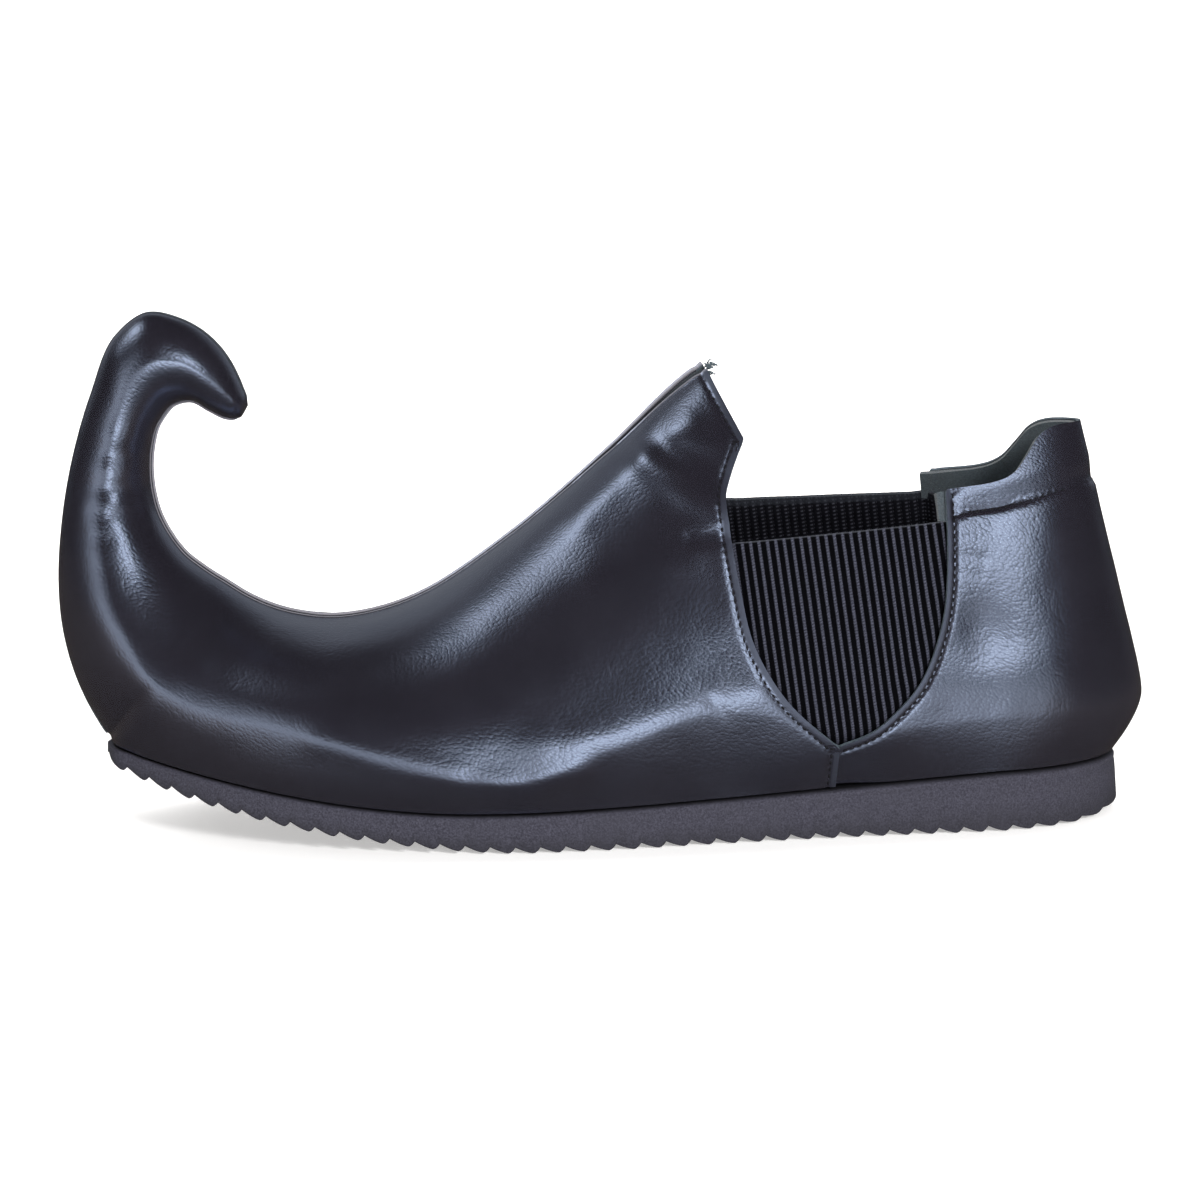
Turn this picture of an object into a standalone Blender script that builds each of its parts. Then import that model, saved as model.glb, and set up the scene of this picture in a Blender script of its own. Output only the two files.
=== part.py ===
"""A left elf shoe: a slip-on with an up-curled toe, elastic side gores and a ripple wedge sole.

Sizes are in millimetres, in the shoe's own axes: along runs from the back of the sole to the toe, side is
negative on the outer (lateral) side, and up is the height over the floor. In the finished part the toe points
to -X, side is Y and up is Z, with the origin on the floor under the middle of the shoe.
"""
import math
from collections import namedtuple

import bmesh
import bpy
from mathutils import Vector

MM = 0.001

# Walls and clearances
WALL = 1.8
GAP = 0.3
WELD = 0.01

# Upper: margin turned in under the foot, lap of the vamp over the quarter, heel tab, raised centre seam
LASTING_MARGIN = 9.0
LASTING_SHARE = 0.6
VAMP_LAP = 0.8
VAMP_ROW = 0.99
LAP_START = 0.35
LAP_ROWS = 0.008
TAB_STEP = 0.5
TAB_ROW = 0.6
TAB_RING = 47.8
TAB_FALL = 3.2
TAB_EDGE = 0.7
SEAM_RISE = 1.1
SEAM_WIDTH = 2.2
SEAM_FLANK = 0.4
SEAM_FOOT = 0.25
SEAM_SHARE = 0.24
SEAM_SHARE_STEP = 0.08
RELIEF_SHARE = 0.06

# Heel: the back profile turns in under its bulge and leans forward above it
HEEL_STRIPS = 7
BACK_FOOT = 2.0
BACK_BELLY = -6.2
BACK_LEAN = 0.245
BACK_BEND = 5.0

# Hollow of the curl, which stops short of the tip
CURL_ROW = 20.0
HOLLOW_END = 23.1

# Sole
SOLE_EDGE = 0.2
SOLE_FLARE = 0.06
SOLE_CEILING = 26.0
SOLE_LENGTH = 302.0
BALL = 175.0
HEEL_BEVEL = 22.0
HEEL_LIFT = 2.2
TOE_SPRING = 20.2
SPRING_POWER = 1.68
TOOTH_PITCH = 7.15
TOOTH_DEPTH = 1.65
NOSE_START = 0.18
NOSE_END = 0.36
OUTLINE_STEPS = 3
HEEL_STEPS = 14

# Elastic gores, with the heights of their top edges at front and rear, and the insole
GORE_THICK = 1.4
GORE_LAP = 7.0
GORE_TOP_OUT = (85.8, 90.0)
GORE_TOP_IN = (89.4, 92.0)
GORE_ROWS = (0.0, 2.5)
INSOLE_INSET = 4.0
INSOLE_THICK = 3.0

# Colours and roughnesses
LEATHER = (0.020, 0.019, 0.023), 0.38
ELASTIC = (0.012, 0.012, 0.013), 0.85
FOAM = (0.060, 0.057, 0.066), 0.80
LINER = (0.050, 0.060, 0.065), 0.90

# Shape of a section: it swells to its belly, then closes to its top
LOW_POWER = 1.6
LOW_RINGS = (-90.0, -66.0, -42.0, -20.0, 0.0, 15.0, 30.0)
TOP_RINGS = (60.0, 72.0)

# Sections of the last from the ankle to the tip of the curl. Low is the feather edge on the sole, and past
# the toe the convex front of the curl; top is the ridge, and past the toe the concave side of the curl. Above
# the collar the top is only a guide that is cut away. Strips counts the facets up to the next section.
Section = namedtuple("Section", "low_along low_up top_along top_up foot_out foot_in belly_out belly_in "
                                "belly_at low_round top_power top_round strips")
SECTIONS = [
    Section(40.0, 17.6, 40.0, 135.0, 32.0, 31.5, 37.5, 37.0, 0.14, 1.0, 1.3, 1.42, 4),
    Section(87.0, 14.9, 87.0, 145.0, 36.0, 32.5, 42.0, 39.0, 0.14, 1.0, 1.5, 1.38, 3),
    Section(122.0, 13.2, 122.0, 132.1, 40.3, 37.0, 46.0, 44.0, 0.21, 1.0, 2.1, 1.75, 2),
    Section(150.0, 12.3, 150.0, 108.3, 44.5, 42.0, 50.0, 48.0, 0.20, 1.0, 1.95, 1.65, 2),
    Section(180.0, 11.6, 180.0, 83.6, 46.5, 46.5, 51.5, 51.5, 0.16, 1.0, 1.8, 1.6, 2),
    Section(207.0, 12.2, 207.0, 66.4, 45.0, 48.0, 50.5, 53.5, 0.25, 1.0, 1.8, 1.65, 2),
    Section(235.0, 15.3, 230.0, 60.7, 41.5, 46.0, 47.0, 51.0, 0.35, 1.0, 1.8, 1.7, 2),
    Section(258.0, 18.8, 244.0, 62.2, 34.5, 39.0, 41.0, 45.0, 0.41, 1.0, 1.8, 1.7, 2),
    Section(277.0, 21.9, 252.5, 65.0, 25.0, 28.5, 35.0, 38.0, 0.44, 1.0, 1.8, 1.7, 2),
    Section(291.0, 24.2, 258.5, 68.1, 15.0, 17.0, 30.5, 32.5, 0.46, 1.1, 1.8, 1.7, 1),
    Section(298.0, 25.4, 261.5, 70.1, 8.0, 9.0, 28.5, 30.0, 0.47, 1.25, 1.8, 1.75, 1),
    Section(300.5, 25.9, 264.0, 71.8, 0.0, 0.0, 27.0, 28.0, 0.48, 1.45, 1.8, 1.8, 2),
    Section(308.6, 43.0, 270.5, 76.3, 0.0, 0.0, 23.5, 24.0, 0.50, 1.7, 1.8, 1.85, 1),
    Section(312.2, 58.5, 275.5, 80.6, 0.0, 0.0, 20.0, 20.5, 0.50, 1.8, 1.8, 1.9, 1),
    Section(312.7, 74.0, 279.7, 86.6, 0.0, 0.0, 17.0, 17.0, 0.50, 1.8, 1.8, 1.9, 1),
    Section(310.8, 91.0, 282.8, 93.6, 0.0, 0.0, 14.3, 14.3, 0.50, 1.8, 1.8, 1.9, 1),
    Section(306.8, 109.5, 284.3, 103.0, 0.0, 0.0, 12.2, 12.2, 0.50, 1.8, 1.8, 1.9, 1),
    Section(300.6, 128.0, 283.6, 112.6, 0.0, 0.0, 11.8, 11.8, 0.50, 1.8, 1.8, 1.9, 2),
    Section(292.3, 145.5, 280.8, 120.3, 0.0, 0.0, 12.4, 12.4, 0.50, 1.8, 1.8, 1.9, 2),
    Section(283.0, 151.7, 276.6, 124.9, 0.0, 0.0, 12.6, 12.6, 0.50, 1.8, 1.8, 1.9, 2),
    Section(273.0, 149.5, 271.3, 125.9, 0.0, 0.0, 11.6, 11.6, 0.50, 1.8, 1.8, 1.9, 1),
    Section(263.8, 143.1, 265.8, 122.9, 0.0, 0.0, 10.0, 10.0, 0.50, 1.8, 1.8, 1.9, 1),
    Section(258.2, 134.8, 261.0, 121.0, 0.0, 0.0, 7.6, 7.6, 0.50, 1.8, 1.8, 1.9, 1),
    Section(255.9, 128.8, 258.0, 121.0, 0.0, 0.0, 5.0, 5.0, 0.50, 1.8, 1.8, 1.9, 1),
    Section(254.8, 124.4, 254.8, 124.4, 0.0, 0.0, 0.0, 0.0, 0.50, 1.8, 1.8, 1.9, 1),
]
TIP_ROW = len(SECTIONS) - 1
TOE_ROW = 11

# Edges of the leather in the side view, as (along, up)
THROAT_PEAK = (122.4, 134.5)
THROAT_EDGE = [(111.4, 114.0), (116.7, 100.5), (116.0, 88.0), (113.5, 72.2), (109.8, 56.9), (100.9, 41.7),
               (86.1, 27.1)]
QUARTER_EDGE = [(86.1, 27.1), (75.1, 32.7), (63.1, 44.8), (56.4, 60.4), (54.2, 76.0), (54.0, 98.2)]
COLLAR_EDGE = [(54.0, 98.2), (40.6, 99.4), (33.8, 101.9), (29.4, 107.0), (25.6, 112.0), (20.6, 114.3),
               (12.3, 114.8), (-2.0, 114.6)]
EDGE_STEPS = 3
OUTSIDE = 30.0
HALF_SPAN = 80.0


def blend(rows, place):
    """Read a smooth curve through the rows at a fractional place."""
    last = len(rows) - 1
    first = min(max(int(place), 0), last - 1)
    part = place - first
    near = [rows[min(max(first + step, 0), last)] for step in (-1, 0, 1, 2)]
    return [b + 0.5 * part * (c - a + part * (2 * a - 5 * b + 4 * c - d + part * (3 * (b - c) + d - a)))
            for a, b, c, d in zip(*near)]


def smooth_line(points, steps):
    """Points along a smooth curve, with the given steps between neighbours."""
    count = (len(points) - 1) * steps
    return [tuple(blend(points, index / steps)) for index in range(count + 1)]


def section_at(row):
    """The last's section at a fractional row of the table."""
    return Section(*blend(SECTIONS, row))


def to_part(along, side, up):
    """Turn the shoe's own millimetres into the part's metres."""
    return Vector((-along, side, up)) * MM


def wall_point(row, ring, side, depth=0.0, margin=0.0):
    """A point of the upper's surface, in the shoe's axes.

    Row runs along the section table, and from -1 to 0 round the heel. Ring is the angle up a section, from
    -90 at its low point over 0 at its belly to 90 at its top. Depth goes into the wall, and margin in under
    the foot.
    """
    cut = section_at(max(row, 0.0))
    foot, belly = (cut.foot_out, cut.belly_out) if side < 0 else (cut.foot_in, cut.belly_in)
    depth = max(depth, -belly * RELIEF_SHARE)
    inward = max(depth, 0.0)
    foot = max(foot - inward - min(margin, LASTING_SHARE * foot), 0.0)
    belly = max(belly - depth, foot)
    low = Vector((cut.low_along, cut.low_up))
    span = Vector((cut.top_along, cut.top_up)) - low
    reach = span.length
    slope = span / reach if reach > WELD else Vector((0.0, 0.0))
    low = low + slope * inward
    span = span - slope * (inward + depth)

    angle = math.radians(ring)
    turn = max(math.cos(angle), 0.0)
    if ring < 0:
        swell = turn ** (2 / cut.low_round)
        share = cut.belly_at * (1 - abs(math.sin(angle)) ** (2 / LOW_POWER))
        width = foot + (belly - foot) * swell
    else:
        swell = 1.0
        share = cut.belly_at + (1 - cut.belly_at) * math.sin(angle) ** (2 / cut.top_power)
        width = belly * turn ** (2 / cut.top_round)
    along, up = low + span * share
    if row >= 0:
        return along, side * width, up

    belly_up = low.y + span.y * cut.belly_at
    back = BACK_FOOT + margin + (BACK_BELLY - BACK_FOOT - margin) * swell + depth
    back += BACK_LEAN * (math.hypot(max(up - belly_up, 0.0), BACK_BEND) - BACK_BEND)
    heel = math.radians(90 * (row + 1))
    along = cut.low_along - (cut.low_along - back) * math.cos(heel)
    return along, side * width * math.sin(heel), up


def rings_at(row):
    """Ring angles of a section's columns, with a close pair along the lower edge of the heel tab."""
    tab = TAB_RING - TAB_FALL * (min(row, TAB_ROW) + 1) ** 1.5
    return (*LOW_RINGS, tab, tab + TAB_EDGE, *TOP_RINGS)


def seam_rings(row, side):
    """Ring angles of the two columns that carry the centre seam's foot, flank and lip."""
    widths = (SEAM_WIDTH + SEAM_FLANK, SEAM_WIDTH)
    if side < 0 and row >= 0:
        widths = (SEAM_WIDTH + SEAM_FLANK, SEAM_FOOT)
    cut = section_at(max(row, 0.0))
    belly = cut.belly_in if side > 0 and row >= 0 else cut.belly_out
    rings = []
    for index, width in enumerate(widths):
        share = min(width / max(belly, WELD), SEAM_SHARE - index * SEAM_SHARE_STEP)
        rings.append(math.degrees(math.acos(share ** (cut.top_round / 2))))
    return rings


def section_ring(row, rise, margin=LASTING_MARGIN):
    """Points of one section from the lateral sole edge over the top to the medial one.

    Rise gives the height of the relief over the plain surface for a ring, a side and a seam column.
    """
    sides = []
    for side in (-1, 1):
        line = [wall_point(row, -90.0, side, max(-rise(-90.0, side, False), 0.0), margin)]
        line += [wall_point(row, ring, side, -rise(ring, side, False)) for ring in rings_at(row)]
        flank, lip = seam_rings(row, side)
        line.append(wall_point(row, flank, side, -rise(flank, side, False)))
        line.append(wall_point(row, lip, side, -rise(lip, side, side > 0)))
        sides.append(line)
    lateral, medial = sides
    return lateral + [wall_point(row, 90.0, 1, -rise(90.0, 1, True))] + medial[::-1]


def outer_ring(row):
    """The outer surface at a row: the quarter dips under the vamp, and heel tab and seam are steps."""
    dip = min(max((row - LAP_START) / (VAMP_ROW - LAP_START), 0.0), 1.0)
    tab_ring = rings_at(row)[len(LOW_RINGS) + 1]

    def rise(ring, side, on_seam):
        if row >= VAMP_ROW:
            return SEAM_RISE * on_seam
        on_tab = row < TAB_ROW and ring >= tab_ring
        return -VAMP_LAP * dip * dip - TAB_STEP * on_tab

    return section_ring(row, rise)


def inner_ring(row):
    """The inside of the wall at a row, drawn back from the tip of the curl."""
    hollow = row
    if row > CURL_ROW:
        hollow = CURL_ROW + (row - CURL_ROW) * (HOLLOW_END - CURL_ROW) / (TIP_ROW - CURL_ROW)
    ring = section_ring(hollow, lambda *_: -WALL)
    if row == TIP_ROW:
        cut = section_at(hollow)
        centre = ((cut.low_along + cut.top_along) / 2, 0.0, (cut.low_up + cut.top_up) / 2)
        ring = [centre] * len(ring)
    return ring


def stations():
    """Rows at which the sections are taken, with a close pair where the vamp laps over the quarter."""
    rows = [index / HEEL_STRIPS - 1 for index in range(HEEL_STRIPS)]
    for index, cut in enumerate(SECTIONS[:-1]):
        rows += [index + step / cut.strips for step in range(cut.strips)]
    rows += [VAMP_ROW - LAP_ROWS, VAMP_ROW, float(TIP_ROW)]
    return sorted(rows)


def grid_mesh(bm, rings):
    """Add a grid through rings of points, with its coinciding points merged."""
    across, around = len(rings) - 1, len(rings[0]) - 1
    made = bmesh.ops.create_grid(bm, x_segments=across, y_segments=around, size=0.5)
    for vert in made["verts"]:
        ring = rings[round((vert.co.x + 0.5) * across)]
        vert.co = to_part(*ring[round((vert.co.y + 0.5) * around)])
    merged = bmesh.ops.find_doubles(bm, verts=made["verts"], dist=WELD * MM)["targetmap"]
    kept = [vert for vert in made["verts"] if vert not in merged]
    bmesh.ops.weld_verts(bm, targetmap=merged)
    return kept


def mesh_object(name, bm, collection):
    """Store a bmesh as an object of the collection."""
    mesh = bpy.data.meshes.new(name)
    bm.to_mesh(mesh)
    bm.free()
    made = bpy.data.objects.new(name, mesh)
    collection.objects.link(made)
    return made


def shell(name, outer, inner, collection):
    """A closed wall between an outer and an inner grid whose open edges face each other."""
    bm = bmesh.new()
    grid_mesh(bm, outer)
    skin = set(bm.faces)
    grid_mesh(bm, inner)
    bmesh.ops.reverse_faces(bm, faces=[face for face in bm.faces if face not in skin])
    rims = [edge for edge in bm.edges if edge.is_boundary]
    bmesh.ops.bridge_loops(bm, edges=rims)
    bmesh.ops.recalc_face_normals(bm, faces=bm.faces)
    return mesh_object(name, bm, collection)


def prism(name, outline, collection, place, low, high, flare=0.0):
    """An extruded outline; flare moves each point of its low end away from the middle."""
    bm = bmesh.new()
    face = bm.faces.new([bm.verts.new(place(*point, high)) for point in outline])
    grown = bmesh.ops.extrude_face_region(bm, geom=[face])["geom"]
    ends = [item for item in grown if isinstance(item, bmesh.types.BMVert)]
    spread = (high - low) * flare * MM
    bmesh.ops.translate(bm, verts=ends, vec=place(0.0, 0.0, low) - place(0.0, 0.0, high))
    if spread:
        bm.normal_update()
        base = next(item for item in grown if isinstance(item, bmesh.types.BMFace))
        moves = {loop.vert: loop.calc_tangent() for loop in base.loops}
        for vert, tangent in moves.items():
            vert.co -= tangent.normalized() * spread
    bmesh.ops.recalc_face_normals(bm, faces=bm.faces)
    return mesh_object(name, bm, collection)


def side_prism(name, outline, collection, low=-HALF_SPAN, high=HALF_SPAN):
    """An outline of (along, up) points, extruded across the shoe."""
    return prism(name, outline, collection, lambda along, up, side: to_part(along, side, up), low, high)


def plan_prism(name, outline, collection, low, high, flare=0.0):
    """An outline of (along, side) points, extruded upwards."""
    return prism(name, outline, collection, to_part, low, high, flare)


def cut_by(target, cutter, operation):
    """Apply a cutter to a part, and keep the cutter out of sight."""
    cutter.hide_render = True
    cutter.display_type = "WIRE"
    modifier = target.modifiers.new(cutter.name, "BOOLEAN")
    modifier.operation = operation
    modifier.solver = "EXACT"
    modifier.object = cutter


def foot_outline(edge):
    """The plan outline of the feather line, moved outwards by edge, as (along, side) points."""
    front = SECTIONS[TOE_ROW].low_along + edge
    cuts = [cut for cut in SECTIONS[:TOE_ROW] if cut.low_along < front - abs(edge) / 2]
    lateral = [(cut.low_along, -cut.foot_out - edge) for cut in cuts]
    medial = [(cut.low_along, cut.foot_in + edge) for cut in cuts]
    heels = []
    for side in (-1, 1):
        heel = []
        for step in range(HEEL_STEPS):
            share = step / HEEL_STEPS
            along, width, _ = wall_point(share - 1, -90.0, side, -edge)
            heel.append((along, width + side * edge * math.sin(share * math.pi / 2)))
        heels.append(heel)
    return heels[0] + smooth_line(lateral + [(front, 0.0)] + medial[::-1], OUTLINE_STEPS) + heels[1][:0:-1]


def feather_line(offset):
    """The sole's top edge in the side view, from toe to heel, moved up by offset, as (along, up) points."""
    cuts = [section_at(row) for row in stations() if 0 <= row <= TOE_ROW]
    line = [(cut.low_along, cut.low_up + offset) for cut in reversed(cuts)]
    toe, heel = line[0], line[-1]
    slope = (toe[1] - line[1][1]) / (toe[0] - line[1][0])
    return [(toe[0] + OUTSIDE, toe[1] + slope * OUTSIDE)] + line + [(-OUTSIDE, heel[1])]


def tread_height(along):
    """Height of the ripples' noses: flat from heel to ball, rising to the toe and at the back of the heel."""
    toe = max(along - BALL, 0.0) / (SOLE_LENGTH - BALL)
    heel = max(HEEL_BEVEL - along, 0.0) / HEEL_BEVEL
    return TOE_SPRING * toe ** SPRING_POWER + HEEL_LIFT * heel * heel


def tread_line():
    """The ripple bottom in the side view from heel to toe, three points a tooth, as (along, up) points."""
    line = []
    count = math.ceil((SOLE_LENGTH + OUTSIDE / 2) / TOOTH_PITCH)
    for tooth in range(-1, count):
        for share, height in ((0.0, TOOTH_DEPTH), (NOSE_START, 0.0), (NOSE_END, 0.0)):
            along = (tooth + share) * TOOTH_PITCH
            line.append((along, tread_height(along) + height))
    return line


def leather_edge():
    """The upper's cut edge in the side view, from the throat's peak to behind the heel tab."""
    throat = smooth_line(THROAT_EDGE, EDGE_STEPS)
    quarter = smooth_line(QUARTER_EDGE, EDGE_STEPS)
    collar = smooth_line(COLLAR_EDGE, EDGE_STEPS)
    return [THROAT_PEAK] + throat + quarter[1:] + collar[1:]


def moved_aside(line, distance):
    """A line of (along, up) points moved to its right by distance."""
    moved = []
    for index, point in enumerate(line):
        before = Vector(line[max(index - 1, 0)])
        after = Vector(line[min(index + 1, len(line) - 1)])
        step = (after - before).normalized()
        moved.append(tuple(Vector(point) + Vector((step.y, -step.x)) * distance))
    return moved


def gore_outline(top_front, top_rear):
    """The elastic's outline in the side view: the V with a lap behind the leather, and a straight top."""
    front = [point for point in smooth_line(THROAT_EDGE, EDGE_STEPS) if point[1] < top_front]
    rear = [point for point in smooth_line(QUARTER_EDGE, EDGE_STEPS) if point[1] < top_rear]
    front_corner = (front[0][0] + GORE_LAP, top_front)
    rear_corner = (rear[-1][0] - GORE_LAP, top_rear)
    tip = (front[-1][0], front[-1][1] - GORE_LAP)
    sides = moved_aside(front, -GORE_LAP)[:-1] + [tip] + moved_aside(rear, -GORE_LAP)[1:]
    return [front_corner] + sides + [rear_corner]


def make_upper(parts, cutters):
    """The leather upper: one hollow wall, cut open at throat, gores and collar."""
    rows = stations()
    upper = shell("upper", [outer_ring(row) for row in rows], [inner_ring(row) for row in rows], parts)
    edge = leather_edge()
    ceiling = SECTIONS[0].top_up + OUTSIDE
    outline = edge + [(-OUTSIDE, edge[-1][1]), (-OUTSIDE, ceiling), (THROAT_PEAK[0], ceiling)]
    cut_by(upper, side_prism("opening_cutter", outline, cutters), "DIFFERENCE")
    return upper


def make_gore(name, side, top, parts, cutters):
    """One elastic panel, behind the leather of its side."""
    rows = [row for row in stations() if GORE_ROWS[0] <= row <= GORE_ROWS[1]]

    def face(depth):
        return [[wall_point(row, ring, side, depth) for ring in rings_at(row)[1:-1]] for row in rows]

    gore = shell(name, face(WALL + GAP), face(WALL + GAP + GORE_THICK), parts)
    cut_by(gore, side_prism(name + "_cutter", gore_outline(*top), cutters), "INTERSECT")
    return gore


def make_sole(parts, cutters):
    """The wedge sole: its side view with the ripples, cut to the plan outline."""
    sole = side_prism("sole", tread_line() + feather_line(-GAP), parts)
    outline = foot_outline(SOLE_EDGE)
    walls = plan_prism("sole_outline", outline, cutters, -TOOTH_DEPTH, SOLE_CEILING, SOLE_FLARE)
    cut_by(sole, walls, "INTERSECT")
    return sole


def make_insole(parts, cutters):
    """A thin liner on the turned-in margin of the upper."""
    seat = WALL + GAP
    band = feather_line(seat)[::-1] + feather_line(seat + INSOLE_THICK)
    insole = side_prism("insole", band, parts)
    outline = foot_outline(-INSOLE_INSET)
    cut_by(insole, plan_prism("insole_outline", outline, cutters, -OUTSIDE, OUTSIDE * 2), "INTERSECT")
    return insole


def give_material(target, colour, roughness):
    """A plain Principled material for one part."""
    material = bpy.data.materials.new(target.name)
    material.use_nodes = True
    shader = material.node_tree.nodes["Principled BSDF"]
    shader.inputs["Base Color"].default_value = (*colour, 1.0)
    shader.inputs["Roughness"].default_value = roughness
    shader.inputs["Metallic"].default_value = 0.0
    target.data.materials.append(material)


def new_collection(name):
    """A collection linked to the scene."""
    made = bpy.data.collections.new(name)
    bpy.context.scene.collection.children.link(made)
    return made


def centre_on_floor(root, pieces):
    """Move the root so that the origin is on the floor under the middle of the shoe."""
    bpy.context.view_layer.update()
    graph = bpy.context.evaluated_depsgraph_get()
    corners = []
    for piece in pieces:
        corners += [Vector(corner) for corner in piece.evaluated_get(graph).bound_box]
    for axis in (0, 1):
        places = [corner[axis] for corner in corners]
        root.location[axis] = -(min(places) + max(places)) / 2
    root.location.z = -min(corner.z for corner in corners)


def main():
    for leftover in list(bpy.data.objects):
        bpy.data.objects.remove(leftover, do_unlink=True)
    parts = new_collection("elf_shoe")
    cutters = new_collection("elf_shoe_cutters")
    looks = {
        make_upper(parts, cutters): LEATHER,
        make_gore("gore_lateral", -1, GORE_TOP_OUT, parts, cutters): ELASTIC,
        make_gore("gore_medial", 1, GORE_TOP_IN, parts, cutters): ELASTIC,
        make_sole(parts, cutters): FOAM,
        make_insole(parts, cutters): LINER,
    }
    root = bpy.data.objects.new("elf_shoe_root", None)
    parts.objects.link(root)
    for piece, look in looks.items():
        give_material(piece, *look)
    centre_on_floor(root, looks)
    for piece in list(parts.objects) + list(cutters.objects):
        if piece is not root:
            piece.parent = root


main()
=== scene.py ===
"""Looks of a left elf shoe: leather panels, elastic gores, linings, stitches and a ripple wedge sole.

Sizes are in millimetres, in the shoe's own axes: along runs from the back of the sole to the toe, side is
negative on the outer (lateral) side, and up is the height over the floor.
"""
import math
from collections import namedtuple
from functools import lru_cache

import bmesh
import bpy
import numpy as np
from mathutils import Matrix, Vector, noise


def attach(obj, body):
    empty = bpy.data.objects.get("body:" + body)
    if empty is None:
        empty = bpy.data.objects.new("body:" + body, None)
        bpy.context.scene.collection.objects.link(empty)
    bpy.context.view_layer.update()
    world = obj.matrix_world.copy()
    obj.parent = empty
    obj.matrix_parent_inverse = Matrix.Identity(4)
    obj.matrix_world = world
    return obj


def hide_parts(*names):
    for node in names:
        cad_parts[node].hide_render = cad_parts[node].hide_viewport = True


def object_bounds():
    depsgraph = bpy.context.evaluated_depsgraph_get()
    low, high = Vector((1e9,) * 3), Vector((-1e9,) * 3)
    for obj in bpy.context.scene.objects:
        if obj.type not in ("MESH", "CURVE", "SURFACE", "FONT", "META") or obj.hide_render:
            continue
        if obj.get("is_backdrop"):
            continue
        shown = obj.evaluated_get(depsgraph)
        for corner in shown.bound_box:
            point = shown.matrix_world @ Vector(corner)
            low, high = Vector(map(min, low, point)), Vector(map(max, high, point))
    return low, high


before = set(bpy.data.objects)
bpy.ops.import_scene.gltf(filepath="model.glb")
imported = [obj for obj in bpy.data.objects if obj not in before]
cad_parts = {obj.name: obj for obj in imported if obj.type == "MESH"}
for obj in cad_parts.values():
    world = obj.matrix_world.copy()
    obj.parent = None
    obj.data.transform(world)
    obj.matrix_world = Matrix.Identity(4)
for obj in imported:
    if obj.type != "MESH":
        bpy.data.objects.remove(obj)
cad_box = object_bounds()

MM = 0.001
MIDDLE_ALONG = 153.25
MIDDLE_SIDE = 1.0
WELD = 0.01

# Panels: thickness of the leather, margin turned in under the foot, raised centre seam
LEATHER_THICK = 1.2
LINING_THICK = 1.5
LASTING_MARGIN = 8.0
LASTING_SHARE = 0.6
SEAM_RISE = 1.1
PEAK_RISE = 1.0
SEAM_REACH = 6.0
SEAM_SHARE = 0.32
SEAM_EDGE = 0.6
SEAM_COLUMNS = (1.0, 0.75, 0.57, 0.45, 0.37, 0.3, 0.245, 0.2, 0.16, 0.125, 0.09, 0.06, 0.03, 0.0)
LAP_DIP = 1.3
PANEL_FAR = 99.0
VAMP_LOW_COLUMNS = 15
VAMP_HIGH_COLUMNS = 56
VAMP_REAR_ROWS = 56
VAMP_FRONT_ROWS = 9
VAMP_CURL_ROWS = 15
QUARTER_COLUMNS = 112
QUARTER_STEPS = 66
LINING_STEPS = 40
LINING_GAP = 0.3

# Rows of the section table at which the quarter's columns stand at its lap, under its corner and at its back
LAP_FOOT_ROW = 1.12
CORNER_FOOT_ROW = -0.48
BACK_FOOT_ROW = -1.0

# Heel: the back profile turns in under its bulge and leans forward above it
BACK_FOOT = 2.0
BACK_BELLY = -6.2
BACK_LEAN = 0.245
BACK_BEND = 5.0
HEEL_TURN = math.radians(75.0)
HEEL_END = math.cos(HEEL_TURN)

# Sole
SOLE_EDGE = 0.2
SOLE_FLARE = 0.06
SOLE_GAP = 0.7
SOLE_LENGTH = 302.0
BALL = 175.0
HEEL_BEVEL = 22.0
HEEL_LIFT = 2.2
TOE_SPRING = 20.2
SPRING_POWER = 1.68
TOOTH_PITCH = 7.15
TOOTH_DEPTH = 1.65
NOSE = 0.27
TOOTH_STEPS = (0.002, 0.07, 0.14, 0.2, 0.27, 0.36, 0.47, 0.6, 0.74, 0.88, 0.998)
WALL_LEVELS = (0.0, 0.03, 0.08, 0.14, 0.17, 0.21, 0.32, 0.5, 0.7, 0.86, 0.95, 1.0)
THINNEST_EDGE = 0.2
HEEL_LENGTH = 38.0

# Insole
INSOLE_INSET = 5.0
INSOLE_RISE = 5.1
INSOLE_THICK = 2.4
INSOLE_STEPS = 18

# Elastic
RIB_PITCH = 2.4
RIB_HEIGHT = 0.45
RIB_LEAN = math.radians(7.0)
GORE_DEPTH = 1.8
GORE_THICK = 0.8
GORE_LAP = 6.5
GORE_STEPS = 40
RIB_COLUMNS = 8
GORE_TOP = {-1: (85.8, 90.0), 1: (89.4, 92.0)}

# Stitches
STITCH_PITCH = 2.2
STITCH_INSET = 2.2
STITCH_REACH = 3.5
STITCH_SIZE = (1.6, 0.75, 0.6)
STITCH_SINK = 0.32
STITCH_DIP = 0.3
STITCH_LOWEST = 15.5
STITCH_HIGHEST = 128.5

# Loose fibres at the throat's peak
FIBRES = 22
FIBRE_ROOT = (120.9, 0.6, 132.2)
FIBRE_RADIUS = 0.24

# Shape of a section: it swells to its belly, then closes to its top
LOW_POWER = 1.6

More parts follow.
